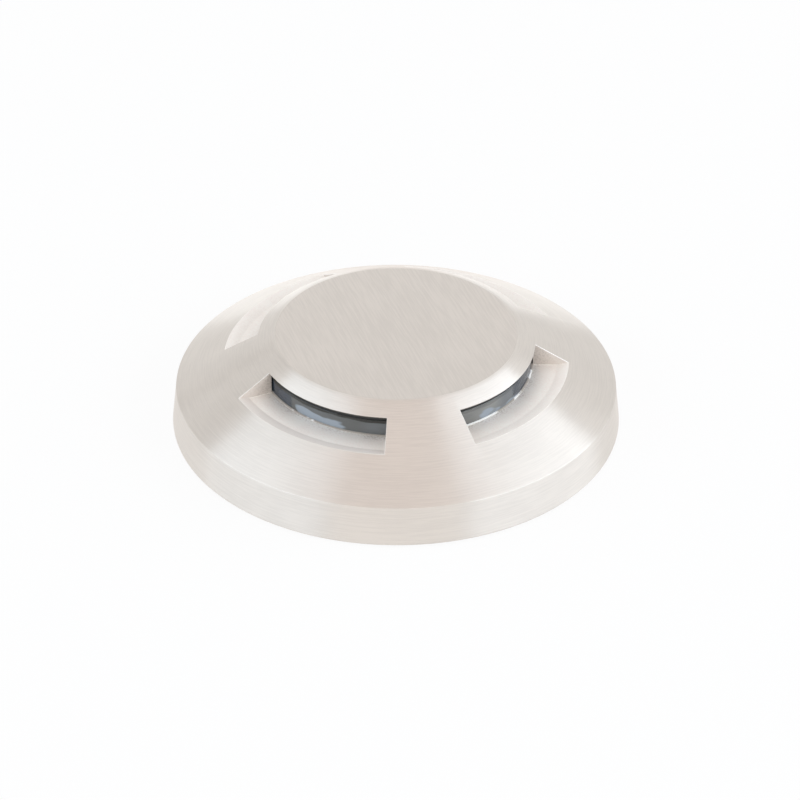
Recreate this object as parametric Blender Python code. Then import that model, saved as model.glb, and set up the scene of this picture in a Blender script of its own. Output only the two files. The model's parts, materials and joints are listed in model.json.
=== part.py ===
"""Low round well light with four side windows in a brushed stainless cap.

Metres, +Z up. The origin is the centre of the underside, where the foot gasket meets the ground.
The window centres lie on -Y, +X, +Y and -X. The cap lifts off along +Z and turns about Z.
"""

from math import atan2, cos, pi, radians, sin, tan

import bmesh
import bpy
from mathutils import Matrix, Vector

# Driving dimensions: clearances
GAP = 0.0003                    # between two separate pieces
SEAL_GAP = 0.00015              # beside a rubber piece in its seat
RUNNING_GAP = 0.0004            # between the turning lens retainer and the fixed base
MERGE = 0.000001                # points closer than this are one point
OVERRUN = 0.002                 # how far a cutter reaches past what it cuts

# Driving dimensions: cap
GROUND_GAP = 0.0005             # under the rim, so that the cap turns freely
CONE_ANGLE = radians(30.34)     # between the cone and the ground
RIM_DRAFT = 0.001               # the rim leans in by this much over its height
RIM_FOOT_ROUND = 0.0004
RIM_EDGE_ROUND = 0.0005
FLAT_ROUND = 0.0028
SKIRT_WALL = 0.003
CONE_WALL = 0.0024
SHOULDER_WIDTH = 0.0024         # ledge inside the skirt that sits on the swivel ring

# Driving dimensions: windows
WINDOW_COUNT = 4
WINDOW_ANGLE = radians(60)
ROOF_RUN = 0.0035               # along the cone's plan, from the flat top to the roof's edge
ROOF_LIP = 0.0006
ROOF_FALL = 0.0002              # the roof's underside falls this much from its edge inwards
LENS_SETBACK = 0.0005           # the lens seat lies this far behind the roof's edge
POCKET_RUN = 0.00745            # in plan, from the roof's edge to the pocket's outer edge
POCKET_STEP = 0.0007            # height of the ramp at the pocket's outer edge
POCKET_STEP_RUN = 0.0027
POCKET_FALL = 0.0001            # the floor falls this much towards the lens
POCKET_FLOOR_WALL = 0.002
CENTRE_STEP = 0.0007            # the ceiling inside the lens hangs this much lower

# Driving dimensions: lens and reflector
LENS_WALL = 0.0023
LENS_GASKET = 0.0005
RETAINER_THICKNESS = 0.0015
RETAINER_LIP = 0.0008           # the retainer reaches this far inside the lens
RETAINER_MARGIN = 0.0014        # from the retainer's edge to the start of the cone's inner slope
RETAINER_SCREW_RADIUS = 0.001
RETAINER_SCREW_LENGTH = 0.0042
REFLECTOR_DEPTH = 0.0033
REFLECTOR_SLOPE_RUN = 0.0074
REFLECTOR_BAND = 0.0004
REFLECTOR_SCREW_RADIUS = 0.0012
REFLECTOR_SCREW_GRIP = 0.0021   # length of its thread inside the cap
CHAMBER_GAP = 0.0013            # between the reflector and the light board

# Driving dimensions: swivel ring and its rings
SWIVEL_LAND = 0.00065           # left of the swivel ring below and above its O-ring's groove
SWIVEL_WIDTH = 0.0045
SWIVEL_PLAY = 0.0006            # between the swivel ring and the skirt
KEY_WIDTH = 0.004
KEY_HEIGHT = 0.0011
KEY_REACH = 0.0014
ORING_CORD = 0.0015
SNAP_THICKNESS = 0.0008
SNAP_WIDTH = 0.0026
SNAP_BITE = 0.0013              # depth of the snap ring's groove
SNAP_OPENING = radians(24)

# Driving dimensions: base
FOOT_THICKNESS = 0.0007
FOOT_EDGE = 0.0005              # from the foot gasket's edges to the flange's edges
FLANGE_THICKNESS = 0.0014
FLANGE_PLAY = 0.001             # between the flange and the skirt
DECK_WALL = 0.0017
HUB_WALL = 0.0066
HUB_LAND = 0.00125              # left of the hub above the snap ring's groove
HUB_CONE_GAP = 0.0015           # between the hub's chamfer and the cone's inner slope
MOUNT_COUNT = 3
MOUNT_BORE_RADIUS = 0.00225
MOUNT_HEAD_RADIUS = 0.0037
MOUNT_HEAD_DEPTH = 0.003
MOUNT_HEAD_MARGIN = 0.0007      # between a screw head's bore and the light board
PILLAR_WALL = 0.001
BOSS_RADIUS = 0.003
POST_RADIUS = 0.0024
COVER_THICKNESS = 0.0012
COVER_LEDGE = 0.0023
COVER_GASKET = 0.0005
COVER_SCREW_RADIUS = 0.001
COVER_SCREW_LENGTH = 0.0062

# Driving dimensions: light board
LIGHT_BOARD_THICKNESS = 0.001
LIGHT_BOARD_MARGIN = 0.0021     # between the board's edge and the lens
THERMAL_PAD = 0.0005
CENTRE_HOLE_RADIUS = 0.004
EMITTER_SIZE = 0.003
EMITTER_HEIGHT = 0.00065
EMITTER_INSET = 0.0024          # from the board's edge to the emitters' centres
EMITTER_SPREAD = radians(22)    # between the two emitters of one window
SOLDER_GAP = 0.0001
BOARD_SCREW_RADIUS = 0.001
BOARD_SCREW_HEAD_RADIUS = 0.0021
BOARD_SCREW_HEAD = 0.0008
BOARD_SCREW_GRIP = 0.0025
BOARD_SCREW_MARGIN = 0.0009     # between a screw's head and the emitters
LEAD_DIAMETER = 0.001
LEAD_SPREAD = 0.0017            # half the distance between the leads in the centre hole

# Driving dimensions: driver board and what it carries
DRIVER_BOARD_RISE = 0.0011      # above the bottom cover
DRIVER_BOARD_THICKNESS = 0.0012
DRIVER_BOARD_WIDTH = 0.01595    # from its centre hole to its edge
DRIVER_BOARD_MARGIN = 0.0008    # to the mounting pillars
DRIVER_HOLE_MARGIN = 0.0015     # between the gland's cap and the board's hole
INDUCTOR_RADIUS = 0.0040
INDUCTOR_WAIST_RADIUS = 0.0032
CAPACITOR_LENGTH = 0.0085
CAPACITOR_ROUND = 0.0004
TERMINAL_WIDTH = 0.009
TERMINAL_DEPTH = 0.0062
TERMINAL_BORE_RADIUS = 0.0012
TERMINAL_SCREW_RADIUS = 0.0012
TERMINAL_SCREW_HEIGHT = 0.0016
RECTIFIER_LENGTH = 0.006
RECTIFIER_WIDTH = 0.0046
DRIVER_CHIP_LENGTH = 0.005
DRIVER_CHIP_WIDTH = 0.0039
CHIP_STANDOFF = 0.0002
PIN_LENGTH = 0.001
PIN_WIDTH = 0.0004
SMALL_CHIP_LENGTH = 0.002
SMALL_CHIP_WIDTH = 0.00125
SMALL_CHIP_HEIGHT = 0.0006
EDGE_BREAK = 0.0002             # small chamfer on moulded and stamped pieces

# Shares of the driver board's free height and of its ring, for what stands on it
INDUCTOR_HEIGHT_SHARE = 0.62
CAPACITOR_HEIGHT_SHARE = 0.70
TERMINAL_HEIGHT_SHARE = 0.74
RECTIFIER_HEIGHT_SHARE = 0.40
DRIVER_CHIP_HEIGHT_SHARE = 0.28
PART_RADIUS_SHARE = 0.5         # 0 at the board's hole, 1 at its edge
SMALL_CHIP_RADIUS_SHARES = (0.22, 0.78)
LEAD_FOOT_SHARE = 0.12

# Driving dimensions: cable gland
CABLE_BORE_RADIUS = 0.0031
GLAND_SEAL_WALL = 0.0008
GLAND_WALL = 0.0011
GLAND_FLANGE = 0.0005
GLAND_FLANGE_RIM = 0.002
GLAND_FLOOR = 0.0009            # from the cover's top up to the seal's seat
LOCKNUT_HEIGHT = 0.0018
NUT_WALL = 0.0016
GLAND_CAP_HEIGHT = 0.0027
GLAND_CAP_ROOF = 0.0009

# Facets
CAP_SEGMENTS = 96
RING_SEGMENTS = 40
SMALL_SEGMENTS = 20
TINY_SEGMENTS = 10
CORD_SEGMENTS = 6
ROUND_STEPS = 3
POCKET_STEPS = 16

# Derived radii, from the cable gland outwards to the rim
GLAND_POCKET_RADIUS = CABLE_BORE_RADIUS + GLAND_SEAL_WALL + SEAL_GAP
GLAND_RADIUS = GLAND_POCKET_RADIUS + GLAND_WALL
GLAND_HOLE_RADIUS = GLAND_RADIUS + GAP
GLAND_FLANGE_RADIUS = GLAND_RADIUS + GLAND_FLANGE_RIM
NUT_INNER_RADIUS = GLAND_RADIUS + GAP
NUT_RADIUS = NUT_INNER_RADIUS + NUT_WALL
DRIVER_HOLE_RADIUS = NUT_RADIUS + DRIVER_HOLE_MARGIN
DRIVER_RADIUS = DRIVER_HOLE_RADIUS + DRIVER_BOARD_WIDTH
PILLAR_RADIUS = MOUNT_HEAD_RADIUS + PILLAR_WALL
MOUNT_CIRCLE = DRIVER_RADIUS + DRIVER_BOARD_MARGIN + PILLAR_RADIUS
CAVITY_RADIUS = MOUNT_CIRCLE + PILLAR_RADIUS + GAP
COVER_SEAT_RADIUS = CAVITY_RADIUS + COVER_LEDGE
COVER_RADIUS = COVER_SEAT_RADIUS - GAP
HUB_RADIUS = CAVITY_RADIUS + HUB_WALL
SNAP_GROOVE_RADIUS = HUB_RADIUS - SNAP_BITE
SWIVEL_INNER_RADIUS = HUB_RADIUS + GAP
SWIVEL_RADIUS = SWIVEL_INNER_RADIUS + SWIVEL_WIDTH
SKIRT_INNER_RADIUS = SWIVEL_RADIUS + SWIVEL_PLAY
FLANGE_RADIUS = SKIRT_INNER_RADIUS - FLANGE_PLAY
SHOULDER_RADIUS = SKIRT_INNER_RADIUS - SHOULDER_WIDTH
CAP_RADIUS = SKIRT_INNER_RADIUS + SKIRT_WALL
RIM_TOP_RADIUS = CAP_RADIUS - RIM_DRAFT
ORING_HALF_GROOVE = ORING_CORD / 2 + SEAL_GAP
CAP_ORING_RADIUS = SKIRT_INNER_RADIUS - GAP - ORING_CORD / 2
HUB_ORING_RADIUS = SWIVEL_INNER_RADIUS - SEAL_GAP - ORING_CORD / 2
CAP_GROOVE_RADIUS = CAP_ORING_RADIUS - ORING_HALF_GROOVE
HUB_GROOVE_RADIUS = HUB_ORING_RADIUS - ORING_HALF_GROOVE

# Derived radii, from the light board outwards to the windows
LIGHT_BOARD_RADIUS = MOUNT_CIRCLE - MOUNT_HEAD_RADIUS - MOUNT_HEAD_MARGIN
EMITTER_CIRCLE = LIGHT_BOARD_RADIUS - EMITTER_INSET
RECESS_RADIUS = LIGHT_BOARD_RADIUS - DECK_WALL
POST_CIRCLE = EMITTER_CIRCLE - EMITTER_SIZE / 2 - BOARD_SCREW_MARGIN - BOARD_SCREW_HEAD_RADIUS
LENS_INNER_RADIUS = LIGHT_BOARD_RADIUS + LIGHT_BOARD_MARGIN
GROOVE_INNER_RADIUS = LENS_INNER_RADIUS - GAP
LENS_RADIUS = LENS_INNER_RADIUS + LENS_WALL
LENS_BORE_RADIUS = LENS_RADIUS + GAP
ROOF_EDGE_RADIUS = LENS_BORE_RADIUS + LENS_SETBACK
FLAT_EDGE_RADIUS = ROOF_EDGE_RADIUS - ROOF_RUN
POCKET_OUTER_RADIUS = ROOF_EDGE_RADIUS + POCKET_RUN

# Derived heights, from the ground up to the hub's edge
FLANGE_FOOT_Z = FOOT_THICKNESS + GAP
FLANGE_TOP_Z = FLANGE_FOOT_Z + FLANGE_THICKNESS
SWIVEL_FOOT_Z = FLANGE_TOP_Z + GAP
ORING_Z = SWIVEL_FOOT_Z + SWIVEL_LAND + ORING_HALF_GROOVE
SWIVEL_TOP_Z = ORING_Z + ORING_HALF_GROOVE + SWIVEL_LAND + KEY_HEIGHT
SHOULDER_Z = SWIVEL_TOP_Z + GAP
KEY_FOOT_Z = SHOULDER_Z - KEY_HEIGHT
SNAP_FOOT_Z = SWIVEL_TOP_Z + GAP
SNAP_TOP_Z = SNAP_FOOT_Z + SNAP_THICKNESS
HUB_EDGE_Z = SNAP_TOP_Z + GAP + HUB_LAND

# The cone clears the hub's edge, which sets the rim's height
CONE_SLOPE = tan(CONE_ANGLE)
CONE_DROP = CONE_WALL / cos(CONE_ANGLE)
RIM_TOP_Z = HUB_EDGE_Z + HUB_CONE_GAP + CONE_DROP - (RIM_TOP_RADIUS - HUB_RADIUS) * CONE_SLOPE
RIM_HEIGHT = RIM_TOP_Z - GROUND_GAP


def cone_z(radius):
    """Height of the cone's outside at a radius."""
    return RIM_TOP_Z + (RIM_TOP_RADIUS - radius) * CONE_SLOPE


def inner_cone_radius(height):
    """Radius where the cone's inner slope has a height."""
    return RIM_TOP_RADIUS - (height + CONE_DROP - RIM_TOP_Z) / CONE_SLOPE


# Derived heights: flat top, windows, lens and reflector, from the cone downwards
FLAT_Z = cone_z(FLAT_EDGE_RADIUS)
CEILING_Z = cone_z(ROOF_EDGE_RADIUS) - ROOF_LIP
CENTRE_CEILING_Z = CEILING_Z - CENTRE_STEP
FLOOR_OUTER_Z = cone_z(POCKET_OUTER_RADIUS) - POCKET_STEP
FLOOR_INNER_Z = FLOOR_OUTER_Z - POCKET_FALL
SLAB_UNDER_Z = FLOOR_INNER_Z - POCKET_FLOOR_WALL
RETAINER_TOP_Z = SLAB_UNDER_Z - GAP
RETAINER_FOOT_Z = RETAINER_TOP_Z - RETAINER_THICKNESS
RETAINER_RADIUS = inner_cone_radius(SLAB_UNDER_Z) - RETAINER_MARGIN
RETAINER_INNER_RADIUS = LENS_INNER_RADIUS - RETAINER_LIP
RETAINER_SCREW_CIRCLE = (LENS_BORE_RADIUS + RETAINER_RADIUS) / 2
LENS_FOOT_Z = RETAINER_TOP_Z + LENS_GASKET + 2 * SEAL_GAP
LENS_TOP_Z = CEILING_Z - LENS_GASKET - 2 * SEAL_GAP
REFLECTOR_TOP_Z = CENTRE_CEILING_Z - GAP
REFLECTOR_FOOT_Z = REFLECTOR_TOP_Z - REFLECTOR_DEPTH
REFLECTOR_RADIUS = LENS_INNER_RADIUS - 2 * GAP
REFLECTOR_FOOT_RADIUS = REFLECTOR_RADIUS - REFLECTOR_SLOPE_RUN

# Derived heights: base, gland and driver board
LIGHT_BOARD_TOP_Z = REFLECTOR_FOOT_Z - CHAMBER_GAP
LIGHT_BOARD_FOOT_Z = LIGHT_BOARD_TOP_Z - LIGHT_BOARD_THICKNESS
PLATEAU_Z = LIGHT_BOARD_FOOT_Z - THERMAL_PAD - 2 * SEAL_GAP
PLATEAU_UNDER_Z = PLATEAU_Z - DECK_WALL
DECK_Z = RETAINER_FOOT_Z - RUNNING_GAP
DECK_UNDER_Z = DECK_Z - DECK_WALL
DECK_EDGE_RADIUS = inner_cone_radius(DECK_Z + HUB_CONE_GAP)
COVER_TOP_Z = FLANGE_FOOT_Z + COVER_THICKNESS
LEDGE_Z = COVER_TOP_Z + COVER_GASKET + 2 * SEAL_GAP
GLAND_SEAT_Z = COVER_TOP_Z + GLAND_FLOOR
LOCKNUT_FOOT_Z = COVER_TOP_Z + GAP
LOCKNUT_TOP_Z = LOCKNUT_FOOT_Z + LOCKNUT_HEIGHT
GLAND_CAP_FOOT_Z = LOCKNUT_TOP_Z + GAP
GLAND_CAP_TOP_Z = GLAND_CAP_FOOT_Z + GLAND_CAP_HEIGHT
GLAND_CAP_UNDER_Z = GLAND_CAP_TOP_Z - GLAND_CAP_ROOF
GLAND_TOP_Z = GLAND_CAP_UNDER_Z - GAP
DRIVER_FOOT_Z = COVER_TOP_Z + DRIVER_BOARD_RISE
DRIVER_TOP_Z = DRIVER_FOOT_Z + DRIVER_BOARD_THICKNESS
HEADROOM = PLATEAU_UNDER_Z - DRIVER_TOP_Z
CAPACITOR_RADIUS = HEADROOM * CAPACITOR_HEIGHT_SHARE / 2
BORE_PLAY = GAP                 # round a screw in its hole

# Places round the axis
WINDOW_ANGLES = [2 * pi * k / WINDOW_COUNT - pi / 2 for k in range(WINDOW_COUNT)]
BRIDGE_ANGLES = [angle + pi / WINDOW_COUNT for angle in WINDOW_ANGLES]
MOUNT_ANGLES = [2 * pi * k / MOUNT_COUNT + pi / 2 for k in range(MOUNT_COUNT)]
BOSS_ANGLES = [angle + pi / MOUNT_COUNT for angle in MOUNT_ANGLES]


def clear_scene():
    """Remove every object that the file starts with."""
    for obj in list(bpy.data.objects):
        bpy.data.objects.remove(obj, do_unlink=True)


def material(name, colour, roughness, metallic=0.0, alpha=1.0):
    """A plain Principled material."""
    mat = bpy.data.materials.new(name)
    mat.use_nodes = True
    shader = mat.node_tree.nodes["Principled BSDF"]
    shader.inputs["Base Color"].default_value = (*colour, 1.0)
    shader.inputs["Roughness"].default_value = roughness
    shader.inputs["Metallic"].default_value = metallic
    shader.inputs["Alpha"].default_value = alpha
    mat.diffuse_color = (*colour, alpha)
    return mat


def place(radius, angle, height=0.0):
    """A point at a radius and an angle about the axis."""
    return Vector((radius * cos(angle), radius * sin(angle), height))


def arc(centre, radius, start, end, steps):
    """Points of a round stretch of an outline, both ends among them."""
    turns = [start + (end - start) * k / steps for k in range(steps + 1)]
    return [(centre[0] + radius * cos(t), centre[1] + radius * sin(t)) for t in turns]


def turned(outline, segments, sweep=2 * pi, start=0.0):
    """Mesh turned about Z from a closed outline of (radius, height) points."""
    bm = bmesh.new()
    verts = [bm.verts.new((radius, 0, height)) for radius, height in outline]
    full = sweep == 2 * pi
    if full:
        for first, second in zip(verts, verts[1:] + verts[:1]):
            if first.co.x or second.co.x:
                bm.edges.new((first, second))
    else:
        bm.faces.new(verts)
    bmesh.ops.rotate(bm, verts=bm.verts, cent=(0, 0, 0), matrix=Matrix.Rotation(start, 3, "Z"))
    bmesh.ops.spin(bm, geom=bm.verts[:] + bm.edges[:] + bm.faces[:], cent=(0, 0, 0),
                   axis=(0, 0, 1), angle=sweep, steps=segments, use_merge=full)
    bmesh.ops.remove_doubles(bm, verts=bm.verts, dist=MERGE)
    bmesh.ops.recalc_face_normals(bm, faces=bm.faces)
    return bm


def block(size, break_edges=0.0):
    """Mesh of a box that stands on z = 0, centred on Z, with its edges broken."""
    bm = bmesh.new()
    bmesh.ops.create_cube(bm, size=1.0)
    bmesh.ops.scale(bm, vec=size, verts=bm.verts)
    bmesh.ops.translate(bm, vec=(0, 0, size[2] / 2), verts=bm.verts)
    if break_edges:
        bmesh.ops.bevel(bm, geom=bm.edges[:], offset=break_edges, segments=1, affect="EDGES")
    return bm


def add_copies(target, piece, transforms):
    """Add a transformed copy of a piece's mesh to the target mesh for each matrix."""
    mesh = bpy.data.meshes.new("copy")
    piece.to_mesh(mesh)
    for transform in transforms:
        moved = mesh.copy()
        moved.transform(transform)
        target.from_mesh(moved)
        bpy.data.meshes.remove(moved)
    bpy.data.meshes.remove(mesh)
    piece.free()


def repeated(piece, transforms):
    """One mesh that holds a copy of a piece for each matrix."""
    target = bmesh.new()
    add_copies(target, piece, transforms)
    return target


def round_places(radius, angles, height=0.0, flip=False):
    """Matrices that stand a piece at places round the axis, each turned to face outwards."""
    turn_over = Matrix.Rotation(pi, 4, "X") if flip else Matrix.Identity(4)
    return [Matrix.Translation(place(radius, angle, height)) @ Matrix.Rotation(angle, 4, "Z") @ turn_over
            for angle in angles]


def smooth_mesh(name, bm, mat=None, smooth_angle=radians(35)):
    """Mesh from the given shape, shaded smooth between its sharp edges."""
    mesh = bpy.data.meshes.new(name)
    bm.to_mesh(mesh)
    bm.free()
    mesh.shade_smooth()
    mesh.set_sharp_from_angle(angle=smooth_angle)
    if mat:
        mesh.materials.append(mat)
    return mesh


def link_object(name, data, transform=None):
    """Object that shows some data, placed by a matrix."""
    obj = bpy.data.objects.new(name, data)
    bpy.context.scene.collection.objects.link(obj)
    if transform:
        obj.location, obj.rotation_euler = transform.to_translation(), transform.to_euler()
    return obj


def add_object(name, bm, mat, smooth_angle=radians(35)):
    """Object with the given shape and material."""
    return link_object(name, smooth_mesh(name, bm, mat, smooth_angle))


def add_row(name, bm, transforms, mat):
    """One object for each matrix, numbered from 1, that all share one mesh."""
    mesh = smooth_mesh(name, bm, mat)
    return [link_object(f"{name}_{k}", mesh, transform) for k, transform in enumerate(transforms, 1)]


def combine(obj, operation, bm):
    """Boolean modifier that unites a mesh with the object or cuts it away."""
    name = obj.name + "_" + operation.lower()
    tool = link_object(name, smooth_mesh(name, bm))
    tool.hide_render = True
    tool.display_type = "WIRE"
    modifier = obj.modifiers.new(operation.lower(), "BOOLEAN")
    modifier.operation = operation
    modifier.solver = "EXACT"
    modifier.object = tool
    tool.parent = obj


def countersunk_screw(head_radius, head_height, shank_radius, length):
    """Screw with its flat head's face on z = 0 and its shank pointing down."""
    recess = shank_radius / 2
    outline = [(0, -recess), (recess, 0), (head_radius, 0), (shank_radius, -head_height),
               (shank_radius, -length), (0, -length)]
    return turned(outline, TINY_SEGMENTS)


def pan_screw(head_radius, head_height, shank_radius, length):
    """Screw whose head stands on z = 0 and whose shank points down."""
    recess = shank_radius / 2
    rounded = head_height / 2
    outline = [(0, head_height - recess), (recess, head_height), (head_radius - rounded, head_height),
               (head_radius, head_height - rounded), (head_radius, 0), (shank_radius, 0),
               (shank_radius, -length), (0, -length)]
    return turned(outline, TINY_SEGMENTS)


def top_cap(mat):
    """Stainless cap: rim, cone, flat top, four pockets and the seats inside."""
    foot_z = GROUND_GAP
    lean = atan2(RIM_DRAFT, RIM_HEIGHT)
    flat_reach = FLAT_ROUND * tan(CONE_ANGLE / 2)
    edge_reach = RIM_EDGE_ROUND * tan((pi / 2 - CONE_ANGLE - lean) / 2)
    edge_centre = (RIM_TOP_RADIUS + edge_reach * sin(lean) - RIM_EDGE_ROUND * cos(lean),
                   RIM_TOP_Z - edge_reach * cos(lean) - RIM_EDGE_ROUND * sin(lean))
    flat_centre = (FLAT_EDGE_RADIUS - flat_reach, FLAT_Z - FLAT_ROUND)
    screw_depth = REFLECTOR_SCREW_GRIP + BORE_PLAY
    screw_bore = REFLECTOR_SCREW_RADIUS + BORE_PLAY
    outline = [(SKIRT_INNER_RADIUS, foot_z)]
    outline += arc((CAP_RADIUS - RIM_FOOT_ROUND, foot_z + RIM_FOOT_ROUND), RIM_FOOT_ROUND,
                   -pi / 2, 0, ROUND_STEPS)
    outline += arc(edge_centre, RIM_EDGE_ROUND, lean, pi / 2 - CONE_ANGLE, ROUND_STEPS)
    outline += arc(flat_centre, FLAT_ROUND, pi / 2 - CONE_ANGLE, pi / 2, ROUND_STEPS)
    outline += [
        (0, FLAT_Z),
        (0, CENTRE_CEILING_Z + screw_depth),
        (screw_bore, CENTRE_CEILING_Z + screw_depth),
        (screw_bore, CENTRE_CEILING_Z),
        (GROOVE_INNER_RADIUS, CENTRE_CEILING_Z),
        (GROOVE_INNER_RADIUS, CEILING_Z),
        (LENS_BORE_RADIUS, CEILING_Z),
        (LENS_BORE_RADIUS, SLAB_UNDER_Z),
        (inner_cone_radius(SLAB_UNDER_Z), SLAB_UNDER_Z),
        (SHOULDER_RADIUS, cone_z(SHOULDER_RADIUS) - CONE_DROP),
        (SHOULDER_RADIUS, SHOULDER_Z),
        (SKIRT_INNER_RADIUS, SHOULDER_Z),
    ]
    cap = add_object("top_cap", turned(outline, CAP_SEGMENTS), mat)

    key_root = SKIRT_WALL / 4
    key = block((KEY_REACH + key_root, KEY_WIDTH, KEY_HEIGHT + key_root))
    key_centre = SKIRT_INNER_RADIUS + (key_root - KEY_REACH) / 2
    combine(cap, "UNION", repeated(key, round_places(key_centre, BRIDGE_ANGLES, KEY_FOOT_Z)))

    ramp = POCKET_STEP / POCKET_STEP_RUN
    floor_edge = POCKET_OUTER_RADIUS - POCKET_STEP_RUN
    past_edge = POCKET_OUTER_RADIUS + OVERRUN
    above = FLAT_Z + OVERRUN
    behind = LENS_BORE_RADIUS - LENS_SETBACK
    pocket = [
        (behind, FLOOR_INNER_Z),
        (floor_edge, FLOOR_OUTER_Z),
        (past_edge, FLOOR_OUTER_Z + ramp * (past_edge - floor_edge)),
        (past_edge, above),
        (ROOF_EDGE_RADIUS, above),
        (ROOF_EDGE_RADIUS, CEILING_Z + ROOF_FALL / 2),
        (behind, CEILING_Z - ROOF_FALL),
    ]
    cutter = turned(pocket, POCKET_STEPS, WINDOW_ANGLE, -WINDOW_ANGLE / 2)
    turns = [Matrix.Rotation(angle, 4, "Z") for angle in WINDOW_ANGLES]
    combine(cap, "DIFFERENCE", repeated(cutter, turns))

    bore = RETAINER_SCREW_RADIUS + BORE_PLAY
    depth = RETAINER_SCREW_LENGTH - RETAINER_THICKNESS + BORE_PLAY
    drill = turned([(0, -OVERRUN), (bore, -OVERRUN), (bore, depth), (0, depth)], TINY_SEGMENTS)
    places = round_places(RETAINER_SCREW_CIRCLE, BRIDGE_ANGLES, SLAB_UNDER_Z)
    combine(cap, "DIFFERENCE", repeated(drill, places))
    return cap


def plain_ring(name, inner, outer, foot, top, mat, segments=RING_SEGMENTS):
    """Ring of rectangular section about the axis."""
    outline = [(inner, foot), (outer, foot), (outer, top), (inner, top)]
    return add_object(name, turned(outline, segments), mat)


def lens_retainer(mat):
    """Ring under the lens, screwed up into the four bridges between the windows."""
    ring = plain_ring("lens_retainer", RETAINER_INNER_RADIUS, RETAINER_RADIUS,
                      RETAINER_FOOT_Z, RETAINER_TOP_Z, mat)
    bore = RETAINER_SCREW_RADIUS + BORE_PLAY
    sink = RETAINER_THICKNESS / 2
    outline = [(0, -OVERRUN), (bore + sink, -OVERRUN), (bore + sink, 0), (bore, sink),
               (bore, RETAINER_THICKNESS + OVERRUN), (0, RETAINER_THICKNESS + OVERRUN)]
    places = round_places(RETAINER_SCREW_CIRCLE, BRIDGE_ANGLES, RETAINER_FOOT_Z)
    combine(ring, "DIFFERENCE", repeated(turned(outline, TINY_SEGMENTS), places))
    return ring


def lens_retainer_screws(mat):
    """Four flush screws through the lens retainer into the cap."""
    sink = RETAINER_THICKNESS / 2
    screw = countersunk_screw(RETAINER_SCREW_RADIUS + sink, sink, RETAINER_SCREW_RADIUS,
                              RETAINER_SCREW_LENGTH)
    places = round_places(RETAINER_SCREW_CIRCLE, BRIDGE_ANGLES, RETAINER_FOOT_Z, flip=True)
    return add_row("lens_retainer_screw", screw, places, mat)


def reflector(mat):
    """Turned disc whose sloping edge sends the light sideways, with a sunk hole for its screw."""
    bore = REFLECTOR_SCREW_RADIUS + BORE_PLAY
    sink = REFLECTOR_DEPTH / 2
    outline = [
        (bore + sink, REFLECTOR_FOOT_Z),
        (REFLECTOR_FOOT_RADIUS, REFLECTOR_FOOT_Z),
        (REFLECTOR_RADIUS, REFLECTOR_TOP_Z - REFLECTOR_BAND),
        (REFLECTOR_RADIUS, REFLECTOR_TOP_Z),
        (bore, REFLECTOR_TOP_Z),
        (bore, REFLECTOR_FOOT_Z + sink),
    ]
    return add_object("reflector", turned(outline, RING_SEGMENTS), mat)


def reflector_screw(mat):
    """Flush screw that holds the reflector up against the cap."""
    sink = REFLECTOR_DEPTH / 2
    length = REFLECTOR_DEPTH + GAP + REFLECTOR_SCREW_GRIP
    screw = countersunk_screw(REFLECTOR_SCREW_RADIUS + sink, sink, REFLECTOR_SCREW_RADIUS, length)
    bmesh.ops.rotate(screw, verts=screw.verts, cent=(0, 0, 0), matrix=Matrix.Rotation(pi, 3, "X"))
    obj = add_object("reflector_screw", screw, mat)
    obj.location.z = REFLECTOR_FOOT_Z
    return obj


def swivel_ring(mat):
    """Ring that turns on the hub, with an O-ring groove outside and notches for the cap's keys."""
    low = ORING_Z - ORING_HALF_GROOVE
    high = ORING_Z + ORING_HALF_GROOVE
    outline = [
        (SWIVEL_INNER_RADIUS, SWIVEL_FOOT_Z), (SWIVEL_RADIUS, SWIVEL_FOOT_Z),
        (SWIVEL_RADIUS, low), (CAP_GROOVE_RADIUS, low),
        (CAP_GROOVE_RADIUS, high), (SWIVEL_RADIUS, high),
        (SWIVEL_RADIUS, SWIVEL_TOP_Z), (SWIVEL_INNER_RADIUS, SWIVEL_TOP_Z),
    ]
    ring = add_object("swivel_ring", turned(outline, RING_SEGMENTS), mat)
    inner = SKIRT_INNER_RADIUS - KEY_REACH - GAP
    outer = SKIRT_INNER_RADIUS + OVERRUN
    notch = block((outer - inner, KEY_WIDTH + 2 * GAP, SWIVEL_TOP_Z - KEY_FOOT_Z + GAP + OVERRUN))
    places = round_places((inner + outer) / 2, BRIDGE_ANGLES, KEY_FOOT_Z - GAP)
    combine(ring, "DIFFERENCE", repeated(notch, places))
    return ring


def o_ring(name, radius, mat):
    """Rubber ring of round section about the axis."""
    section = arc((radius, ORING_Z), ORING_CORD / 2, 0, 2 * pi, CORD_SEGMENTS)[:-1]
    return add_object(name, turned(section, RING_SEGMENTS), mat, radians(60))


def snap_ring(mat):
    """Open spring ring in the hub's groove, which keeps the swivel ring down."""
    inner = SNAP_GROOVE_RADIUS + GAP
    section = [(inner, SNAP_FOOT_Z), (inner + SNAP_WIDTH, SNAP_FOOT_Z),
               (inner + SNAP_WIDTH, SNAP_TOP_Z), (inner, SNAP_TOP_Z)]
    ring = turned(section, RING_SEGMENTS, 2 * pi - SNAP_OPENING, SNAP_OPENING / 2)
    return add_object("snap_ring", ring, mat)


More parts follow.
